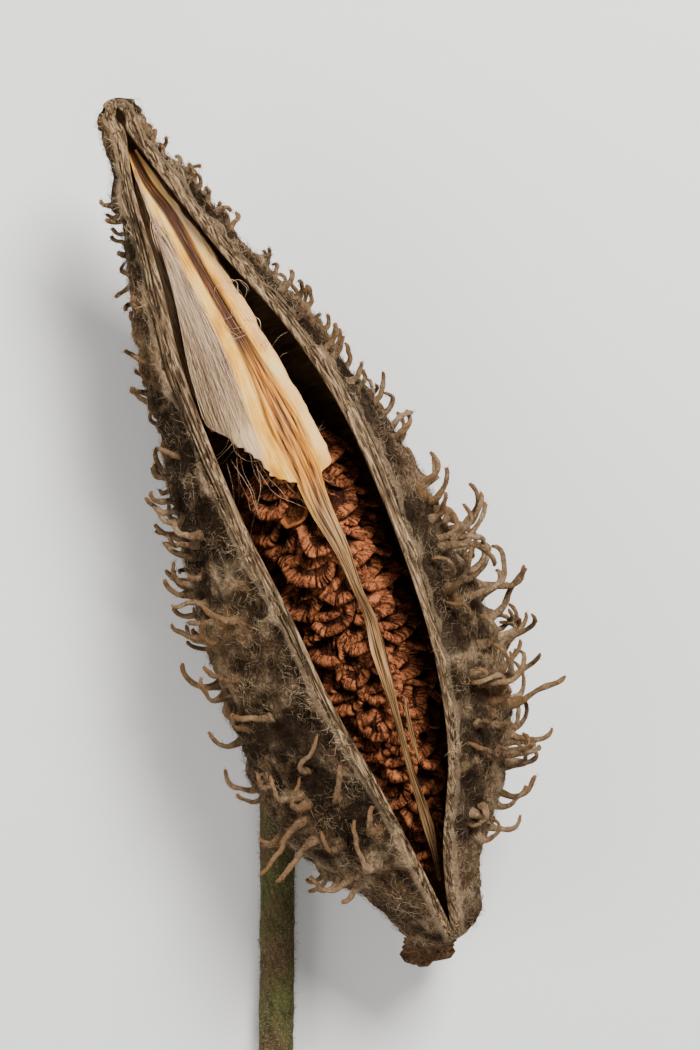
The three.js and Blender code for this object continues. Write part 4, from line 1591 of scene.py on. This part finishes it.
@dataclass
class SeedRibbon:
    """The papery placenta: broad wings over the silk, and a narrow twisted strip over the seeds."""

    bed: SeedBed
    thickness: float = 0.16
    columns: int = 38
    middle: Profile = Profile((
        (-43, 1.4), (-40, 2), (-35, 2.6), (-30, 3), (-25, 3.6), (-20, 4.2), (-17, 4.5), (-13, 5), (-10, 4.9),
        (-5, 4.9), (0, 4.4), (5, 4.4), (10, 4.1), (18.5, 3.4), (27, 2.2), (35.5, 1.1), (40, 0), (43.5, -0.4)))
    half_strip: Profile = Profile((
        (-43, 0.16), (-39.5, 0.4), (-37, 0.62), (-34.5, 0.54), (-31, 0.4), (-26, 0.36), (-23, 0.44),
        (-19.5, 0.68), (-16.5, 0.84), (-14, 0.7), (-11.5, 0.52), (-8.5, 0.6), (-6, 0.76), (-2, 1.1),
        (2, 1.35), (6, 1.65), (10, 1.8), (14, 1.4), (18.5, 0.95), (24, 0.7), (28, 0.62), (36, 0.7),
        (40, 0.55), (45, 0.35)))
    left: Profile = Profile((
        (3.2, 3.05), (4.0, 2.2), (5.0, 0.9), (6.0, 0.35), (7.5, -0.2), (9.5, -1.4), (11.0, -2.4),
        (12.0, -3.6), (13.0, -4.1), (15, -4.0), (20, -3.4), (25, -2.4), (29, -1.8), (35, -1.3), (41, -1.1),
        (44, -0.8)))
    right: Profile = Profile((
        (3.2, 5.9), (3.6, 6.1), (4.0, 7.2), (4.6, 7.5), (6, 7.5), (14, 6.6), (20, 5.7), (25, 4.9), (30, 3.9),
        (38, 1.7), (44, 0.2)))
    silk_edge: Profile = Profile(((4, 0.9), (10, 0.7), (18, 0.3), (27, -0.3), (33, -1.0), (40, -1.6)))
    sliver: Profile = Profile(((-30, 4.1), (-26, 4.6), (-23, 5.2)))
    crest: Profile = Profile(
        ((2, 21.2), (6, 21.1), (12, 20.4), (20, 19.8), (30, 19.1), (38, 18.5), (44, 17.9)))
    roll: Profile = Profile((
        (-43, 0.0), (-30, 0.35), (-22, 0.5), (-17, -0.7), (-13, 0.8), (-8, 0.3), (0, 0.12), (5, 0.0),
        (44, 0.0)))
    # Stretches of rows along the ribbon, as first y, last y and number, closest where its wings end.
    rows: tuple[tuple[float, float, int], ...] = ((-43, 2.6, 150), (2.8, 14, 112), (14.4, 44, 76))

    def edges(self, y: Array) -> tuple[Array, Array]:
        """Finds the edges, torn along the wings.

        Args:
            y: Places along the pod.

        Returns:
            The x of the left and of the right edge.
        """
        mid, half = self.middle(y), self.half_strip(y)
        wing = smooth_step(y, 3.1, 3.4)
        place = xyz(0.0, y, 0.0)
        torn = 0.26 * Grain(71)(place, 1.1, 3) + 0.2 * Grain(76)(place, 0.35)
        torn = torn * smooth_step(-y, -16.0, -11.0)
        left = mix(mid - half, self.left(y) + torn, wing)
        right = mix(mid + half, self.right(y) + 0.12 * Grain(72)(place, 1.6, 3), wing)
        return left, right

    def height(self, x: Array, y: Array) -> Array:
        """Finds the height of the ribbon's middle layer.

        Args:
            x: Places across the pod.
            y: Places along the pod.

        Returns:
            The z of each place.
        """
        reach = self.bed.layer + self.bed.gap + 0.3
        across = np.clip((x - self.bed.x(y)) / (self.bed.wide(y) + reach), -1.0, 1.0)
        over_seeds = self.bed.z(y) + (self.bed.high(y) + reach) * np.sqrt(1.0 - across ** 2)
        off = x - self.middle(y)
        droop = np.where(off < 0, 0.05, 0.1) * np.maximum(np.abs(off) - 0.6, 0.0) ** 2
        wing = self.bed.belly + self.crest(y) - droop
        place = xyz(x, y, 0.0)
        wave = 0.16 * Grain(73)(place, (2.6, 9.0, 1.0), 2)
        fibre = 0.05 * Grain(74)(place, (0.3, 7.0, 1.0), 2)
        trough = -0.22 * np.exp(-((off / np.maximum(self.half_strip(y), 0.3)) ** 4))
        wing = wing + wave + trough * smooth_step(y, 4.0, 14.0)
        return mix(over_seeds + np.tan(self.roll(y)) * off, wing, smooth_step(y, 1.0, 6.0)) + fibre

    def sheet(self, clay: Clay, y: Array, left: Array, right: Array, columns: int) -> None:
        """Adds one thin closed sheet.

        Args:
            clay: The mesh that takes it.
            y: Places along the pod, as a column.
            left: The x of its left edge at each place.
            right: The x of its right edge at each place.
            columns: How many points lie across it.
        """
        x = mix(left, right, np.linspace(0.0, 1.0, columns)[None])
        sheet = xyz(x, y, self.height(x, y))
        half = np.array((0.0, 0.0, self.thickness / 2))
        rings = np.concatenate((sheet + half, sheet[:, ::-1] - half), axis=1)
        off = (x - self.middle(y)) / self.half_strip(y)
        strip = np.maximum(1.0 - smooth_step(np.abs(off), 0.75, 1.15), smooth_step(-y, 0.0, 3.0))
        place = xyz(x, y, 0.0)
        border = x + 0.4 * Grain(75)(place, (1.0, 3.0, 1.0), 2)
        silky = (1.0 - smooth_step(border - self.silk_edge(y), -0.9, 0.5)) * smooth_step(y, 4.0, 6.0)
        # The right edge is silvery and thin; round y 34 it is whiter still, as a painted highlight on a fold.
        clear = (0.45 + 0.5 * hump(y, 34.0, 4.0)) * smooth_step(y, 3.4, 5.0)
        silky = np.maximum(silky, clear * smooth_step(border, right - 1.4, right - 0.2))
        lower = np.broadcast_to(1.0 - smooth_step(y, -2.0, 6.0), x.shape)

        def both(values: Array) -> Array:
            """Repeats top values on the underside and adds the two end points."""
            return capped(np.concatenate((values, values[:, ::-1]), axis=1))

        clay.add(*closed_tube(rings), strip=both(strip), silky=both(silky), lower=both(lower),
                 across=both(off), along=both(np.broadcast_to(y, x.shape)))

    def build(self) -> Piece:
        """Makes the ribbon and the sliver that has split off beside its strip.

        Returns:
            The piece.
        """
        clay = Clay()
        y = np.concatenate([np.linspace(*stretch) for stretch in self.rows])
        self.sheet(clay, y[:, None], *self.edges(y[:, None]), self.columns)
        y = np.linspace(-30.0, -22.3, 40)[:, None]
        middle, half = self.sliver(y), 0.24 * smooth_step(-y, 22.0, 24.0) * smooth_step(y, -31.0, -27.0)
        self.sheet(clay, y, middle - half, middle + half, 8)
        made = clay.piece("papery_ribbon", [RibbonFinish().material()])
        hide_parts("seed_ribbon")
        return made


@dataclass
class SilkFloss:
    """The silk bundle, the strands on the ribbon's silvery side and the loose threads."""

    ribbon: SeedRibbon
    on_sheet: int = 860
    on_bundle: int = 500
    thread: float = 0.024
    stray_steps: int = 18
    ends: Pair = (8.0, 43.0)
    x: Profile = Profile(((8, 2.4), (11, 1.8), (14, 1.4), (20, 0.8), (30, 0.4), (40, 0), (43, -0.1)))
    height: Profile = Profile(
        ((8, 12.6), (11, 12.2), (14, 11.9), (20, 12.9), (30, 14.7), (40, 15.9), (43, 16.3)))
    wide: Profile = Profile(
        ((8, 0.6), (9, 2.2), (11, 4.0), (14, 5.0), (20, 4.9), (30, 3.6), (40, 1.6), (43, 0.5)))
    high: Profile = Profile(
        ((8, 0.6), (9, 2.4), (11, 4.4), (14, 5.4), (20, 5.1), (30, 3.3), (40, 1.4), (43, 0.5)))
    # Wisps at the right wing: y of the root, and direction as an angle from +X.
    wisps: Pairs = ((26.4, 0.3), (25.6, 2.2), (24.9, 1.0), (20.2, 0.6), (19.4, -0.4))

    def z(self, y: Number) -> Array:
        """Gives the height of the bundle's middle."""
        return self.ribbon.bed.belly + self.height(y)

    def strand(self, clay: Clay, path: Array, radius: float) -> None:
        """Adds one three-sided strand, thin at both ends.

        Args:
            clay: The mesh that takes it.
            path: The points that it follows.
            radius: Its radius between the ends.
        """
        t = np.linspace(0.0, 1.0, len(path))
        radii = radius * np.clip(np.minimum(t, 1.0 - t) * 8.0, 0.25, 1.0)
        clay.add(*closed_tube(sweep(path, radii, 3)))

    def bundle(self, clay: Clay) -> None:
        """Adds the soft body of the bundle.

        Args:
            clay: The mesh that takes it.
        """
        y = np.linspace(*self.ends, 76)[:, None]
        angle = (np.arange(72) / 72 * TURN)[None]
        ridge = 1.0 + 0.05 * Grain(81)(xyz(angle * 6.0, y, 0.0), (0.6, 14.0, 1.0), 3)
        clay.add(*closed_tube(xyz(self.x(y) + self.wide(y) * ridge * np.sin(angle), y,
                                  self.z(y) + self.high(y) * ridge * np.cos(angle))))

    def build(self) -> Piece:
        """Makes the floss as one piece.

        Returns:
            The piece.
        """
        rng = np.random.default_rng(19)
        clay = Clay()
        self.bundle(clay)
        for _ in range(self.on_sheet):
            k = rng.uniform(0.0, 1.0) ** 1.2
            start = rng.uniform(10.5, 30.0)
            y = np.linspace(start, min(start + rng.uniform(6.0, 20.0), 42.0), 9)
            left = self.ribbon.left(np.maximum(y, 13.0))
            x = mix(left + 0.1, self.ribbon.middle(y) - self.ribbon.half_strip(y) - 1.4, k)
            x = x + 0.16 * np.cumsum(rng.normal(0, 0.5, len(y)))
            lift = 0.1 + 0.25 * rng.uniform() * np.sin(np.linspace(0, math.pi, len(y)))
            x = np.maximum(x, self.ribbon.edges(y)[0] + 0.1)
            self.strand(clay, xyz(x, y, self.ribbon.height(x, y) + lift), self.thread)
        for _ in range(self.on_bundle):
            angle = rng.uniform(0.6, TURN - 0.6)
            start = rng.uniform(8.0, 28.0)
            y = np.linspace(start, min(start + rng.uniform(8.0, 18.0), 42.5), 8)
            turn = angle + rng.normal(0, 0.08) * np.linspace(0, 1, 8)
            x = self.x(y) + (self.wide(y) * 1.03) * np.sin(turn)
            z = self.z(y) + (self.high(y) * 1.03) * np.cos(turn)
            self.strand(clay, xyz(x, y, z), self.thread)
        self.loose(clay, rng)
        made = clay.piece("silk_floss_strands", [SilkFinish().material()])
        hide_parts("silk_floss")
        return made

    def loose(self, clay: Clay, rng: np.random.Generator) -> None:
        """Adds the stray threads below the silvery side, across the strip and beside the right wing.

        Args:
            clay: The mesh that takes them.
            rng: Source of their places and bends.
        """
        for _ in range(19):
            x, y = rng.uniform(-3.6, 0.2), rng.uniform(8.0, 13.0)
            self.stray(clay, rng, (x, y), rng.normal(-1.45, 0.4), rng.uniform(3.5, 13.0), radius=0.024)
        for _ in range(8):
            self.stray(clay, rng, (rng.uniform(1.0, 2.4), rng.uniform(20.0, 23.5)), rng.normal(0.3, 0.9),
                       rng.uniform(1.5, 3.5))
        for k in range(9):
            t = np.linspace(0.0, math.pi, 16)
            x = -0.7 - (0.35 + 0.09 * k) * np.cos(t) + 0.1 * rng.normal()
            y = 31.6 + (2.2 + 0.3 * k) * np.sin(t) + 0.9 * np.cos(t)
            z = self.ribbon.height(np.maximum(x, -1.2), y) + 0.25 + 0.5 * np.sin(t) * rng.uniform(0.3, 1.0)
            self.strand(clay, xyz(x, y, z), 0.04)
        for _ in range(5):
            y = rng.uniform(13.0, 28.0)
            self.stray(clay, rng, (float(self.ribbon.right(y)) - 0.3, y), rng.normal(0.4, 0.8),
                       rng.uniform(1.0, 3.0))
        for y, heading in self.wisps:
            root = (float(self.ribbon.right(y)) - 0.4, y)
            self.stray(clay, rng, root, heading, rng.uniform(2.2, 3.8), curl=0.14, radius=0.035)

    def stray(self, clay: Clay, rng: np.random.Generator, start: Pair, heading: float,
              length: float, curl: float = 0.05, radius: float = 0.017) -> None:
        """Adds one curled thread that leaves the ribbon and settles on the seeds.

        Args:
            clay: The mesh that takes it.
            rng: Source of its bends.
            start: The x and y at which it leaves the ribbon.
            heading: Direction that it sets out in, as an angle from +X.
            length: Its length.
            curl: How much it may turn at each step.
            radius: About how thick it is.
        """
        steps = self.stray_steps
        bend = heading + np.cumsum(rng.normal(0.0, 0.13, steps)) + rng.normal(0.0, curl) * np.arange(steps)
        run = np.stack((np.cos(bend), np.sin(bend)), axis=1) * length / (steps - 1)
        x, y = (np.array(start) + np.cumsum(run, axis=0)).T
        t = np.linspace(0.0, 1.0, steps)
        bed = self.ribbon.bed
        reach = bed.layer + 0.7
        across = np.clip((x - bed.x(y)) / (bed.wide(y) + reach), -0.98, 0.98)
        seeds = bed.z(y) + (bed.high(y) + reach) * np.sqrt(1.0 - across ** 2)
        sheet = float(self.ribbon.height(np.array(start[0]), np.array(max(start[1], 8.0)))) + 0.18
        settle = smooth_step(t, 0.0, 0.7) if start[1] < 13.0 else 0.0
        z = mix(sheet, np.minimum(seeds, sheet), settle) + rng.uniform(0.2, 0.9) * np.sin(t * math.pi)
        self.strand(clay, xyz(x, y, z), radius * rng.uniform(0.7, 1.3))


@dataclass
class Stalk:
    """The cut piece of stalk on the table and the bent pedicel that carries the pod."""

    radius: float = 2.05
    pedicel: float = 1.4
    end: Pair = (-24.0, -56.9)
    top: Pair = (-11.2, -25.3)
    bends: tuple[Triple, ...] = (
        (-10.4, -23.2, 2.1), (-8.6, -21.8, 2.1), (-6.8, -23.6, 2.0), (-5.6, -28.5, 1.8), (-4.2, -35, 2.1),
        (-2.7, -42, 4.0), (-1.5, -46.6, 7.0), (-1, -48.2, 9.4), (-0.6, -48.0, 12.6))
    sides: int = 28
    # Rings that round off the upper end: place along the stalk as a share, and size.
    rounding: Pairs = (
        (1.02, 0.98), (1.04, 0.93), (1.055, 0.85), (1.07, 0.7), (1.08, 0.5), (1.085, 0.25))
    hairs: int = 6400
    fuzz: FibreFinish = FibreFinish("stalk_fuzz", tint(164, 152, 122), tint(96, 88, 62))

    def run(self) -> tuple[Array, Array]:
        """Lays the straight piece, with a cut lower end and a rounded upper one.

        Returns:
            Its path and radii.
        """
        beyond, size = np.array(self.rounding).T
        share = np.concatenate((np.linspace(0, 1, 90), beyond))
        low, high = np.array((*self.end, self.radius)), np.array((*self.top, self.radius))
        radii = np.full(len(share), self.radius)
        radii[-len(size):] *= size
        return low + (high - low) * share[:, None], radii

    def neck(self) -> tuple[Array, Array]:
        """Lays the pedicel, swollen where it joins the stalk and the pod.

        Returns:
            Its path and radii.
        """
        knots = np.array([(*np.array(self.top) + (-0.8, -2.0), self.radius)] + list(self.bends))
        steps = np.concatenate(((0.0,), np.cumsum(np.linalg.norm(np.diff(knots, axis=0), axis=1))))
        at = np.linspace(0.0, steps[-1], 110)
        path = np.stack([Profile(tuple(zip(steps, knots[:, k])))(at) for k in range(3)], axis=1)
        share = at / steps[-1]
        radii = self.pedicel * (1.0 + 0.3 * hump(share, 0.0, 0.08) + 0.35 * hump(share, 0.97, 0.05))
        return path, radii

    def build(self) -> list[Piece]:
        """Makes the stalk and its short fuzz.

        Returns:
            The pieces.
        """
        rng = np.random.default_rng(23)
        clay = Clay()
        base, tip = [], []
        for (path, radii), seed in zip((self.run(), self.neck()), (91, 92)):
            rings = sweep(path, radii, self.sides)
            out = unit(rings - path[:, None])
            ribs = 0.1 * Grain(seed)(rings, (1.2, 9.0, 1.2), 2) + 0.06 * Grain(seed + 4)(rings, 0.7, 2)
            rings = rings + (ribs - 0.06)[..., None] * out
            rings[..., 2] = np.maximum(rings[..., 2], 0.0)
            clay.add(*closed_tube(rings))
            ring = rng.integers(0, len(path) - len(self.rounding), self.hairs // 2)
            side = rng.integers(0, self.sides, self.hairs // 2)
            root = rings[ring, side] + rng.normal(0, 0.1, (len(ring), 3))
            lean = unit(out[ring, side] + 0.9 * rng.normal(size=root.shape))
            base.append(root)
            tip.append(root + lean * rng.uniform(0.25, 0.6, (len(ring), 1)))
        made = clay.piece("stalk_bark", [StalkFinish().material()])
        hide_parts("stalk")
        joints = np.stack((np.concatenate(base), np.concatenate(tip)), axis=1)
        return [made, hair_piece("stalk_fuzz", self.fuzz, joints, rng)]


@dataclass
class Sepals:
    """Five shrivelled sepals around the join of pod and pedicel."""

    count: int = 5
    join: Triple = (-1.0, -48.4, 9.4)
    axis: Triple = (0.08, -0.36, 0.92)
    first: float = 0.079
    longest: int = 3
    reach: float = 4.7
    width: float = 7.0
    short: float = 0.62
    thickness: float = 0.22
    shape: Profile = Profile(((0, 0.5), (0.3, 0.95), (0.6, 1.0), (0.85, 0.9), (1, 0.6)))

    def build(self) -> list[Piece]:
        """Makes each sepal as a curled leaf of its own.

        Returns:
            The pieces.
        """
        axis = unit(np.array(self.axis))
        right = unit(np.array((1.0, 0.0, 0.0)) - axis * axis[0])
        material = SepalFinish().material()
        made = []
        for number in range(self.count):
            turn = (self.first + number / self.count) * TURN
            size = 1.0 if number == self.longest else self.short
            side = math.cos(turn) * right + math.sin(turn) * np.cross(axis, right)
            across = np.cross(axis, side)
            t = np.linspace(0.0, 1.0, 26)[:, None]
            s = np.linspace(-1.0, 1.0, 13)[None]
            ragged = 1.0 + 0.25 * Grain(96)(xyz(t * 7.0, number, 0.0), 1.0, 2)
            wavy = 1.0 - 0.12 * s ** 2 + 0.16 * Grain(97)(xyz(s * 2.6, number, 0.0), 1.0, 2)
            wide = size * self.width / 2 * self.shape(t) * ragged
            curl = 0.5 * s ** 2 * (0.4 + t) + 0.3 * Grain(95)(xyz(t * 4.0, s * 1.2, number * 7.0), 0.9, 2)
            drop = 0.4 + 2.0 * t ** 1.5 - 0.9 * smooth_step(t, 0.6, 1.0)
            sheet = (np.array(self.join) + side * (1.1 + size * self.reach * t * wavy)[..., None]
                     + across * (wide * s)[..., None] - axis * (drop + curl)[..., None])
            half = axis * self.thickness / 2
            clay = Clay()
            clay.add(*closed_tube(np.concatenate((sheet + half, sheet[:, ::-1] - half), axis=1)))
            name = f"sepal_{number + 1:02d}"
            made.append(clay.piece(name + "_leaf", [material]))
            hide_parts(name)
        return made


@dataclass
class Studio:
    """Pale floor, soft lights and the camera that looks down on the pod."""

    middle: Pair = (6.7, -2.96)
    up: Pair = (0.370, 0.929)
    view_height: float = 115.5
    level: float = 19.4
    lens: float = 100.0
    # In metres, as the floor and the lights are.
    floor_half: float = 4.0
    floor_colour: Colour = (0.74, 0.73, 0.71)
    sky_colour: Colour = (1.0, 0.98, 0.95)
    sky_strength: float = 0.22
    # Lights: name, place, width and power.
    lights: tuple[tuple[str, Triple, float, float], ...] = (
        ("key_light", (0.26, 0.20, 0.38), 0.18, 6.0), ("fill_light", (-0.36, 0.06, 0.26), 0.30, 1.3),
        ("back_light", (-0.05, -0.36, 0.30), 0.30, 0.8))
    aim: Triple = (0.0, 0.0, 0.015)

    def build(self) -> None:
        """Sets up the floor, the lights and the camera."""
        self.floor()
        for light in self.lights:
            self.lamp(*light)
        world = bpy.data.worlds.new("soft_room")
        world.use_nodes = True
        sky = world.node_tree.nodes["Background"]
        sky.inputs["Color"].default_value = (*self.sky_colour, 1.0)
        sky.inputs["Strength"].default_value = self.sky_strength
        bpy.context.scene.world = world
        self.camera()

    def floor(self) -> None:
        """Lays the pale floor."""
        mesh = bpy.data.meshes.new("floor")
        half = self.floor_half
        corners = [(-half, -half, 0), (half, -half, 0), (half, half, 0), (-half, half, 0)]
        mesh.from_pydata(corners, [], [(0, 1, 2, 3)])
        mesh.materials.append(Recipe("pale_floor", Roughness=0.9).finish(self.floor_colour))
        made = bpy.data.objects.new("floor", mesh)
        bpy.context.scene.collection.objects.link(made)

    def lamp(self, name: str, place: Triple, size: float, power: float) -> None:
        """Hangs a square soft light that points at the pod.

        Args:
            name: Its name.
            place: Where it hangs.
            size: Its width.
            power: Its power in watts.
        """
        data = bpy.data.lights.new(name, "AREA")
        data.size = size
        data.energy = power
        made = bpy.data.objects.new(name, data)
        made.location = place
        made.rotation_euler = self.look(self.aim, place)
        bpy.context.scene.collection.objects.link(made)

    @staticmethod
    def look(target: Triple, place: Triple) -> Euler:
        """Gives the turn that points a light from a place to a target."""
        return (Vector(target) - Vector(place)).to_track_quat("-Z", "Y").to_euler()

    def camera(self) -> None:
        """Hangs the camera straight above the pod, turned so that the pod leans as it grew."""
        data = bpy.data.cameras.new("camera")
        data.lens = self.lens
        data.clip_start = 0.01
        made = bpy.data.objects.new("camera", data)
        distance = self.view_height * self.lens / data.sensor_width
        x, y = np.array(self.middle) - ORIGIN[:2]
        made.location = (x * MM, y * MM, (self.level + distance) * MM)
        made.rotation_euler = (0.0, 0.0, -math.atan2(self.up[0], self.up[1]))
        bpy.context.scene.collection.objects.link(made)
        bpy.context.scene.camera = made


def main() -> None:
    """Builds every piece and the studio, and notes the sizes."""
    Studio().build()
    form = HuskForm()
    Husk(form).build()
    _, paths = Spines(form).build()
    Wool(form).build(paths)
    bed = SeedBed()
    seeds = Seeds(bed)
    seeds.build()
    seeds.build_deep()
    ribbon = SeedRibbon(bed)
    ribbon.build()
    SilkFloss(ribbon).build()
    Stalk().build()
    Sepals().build()


if __name__ == "__main__":
    main()
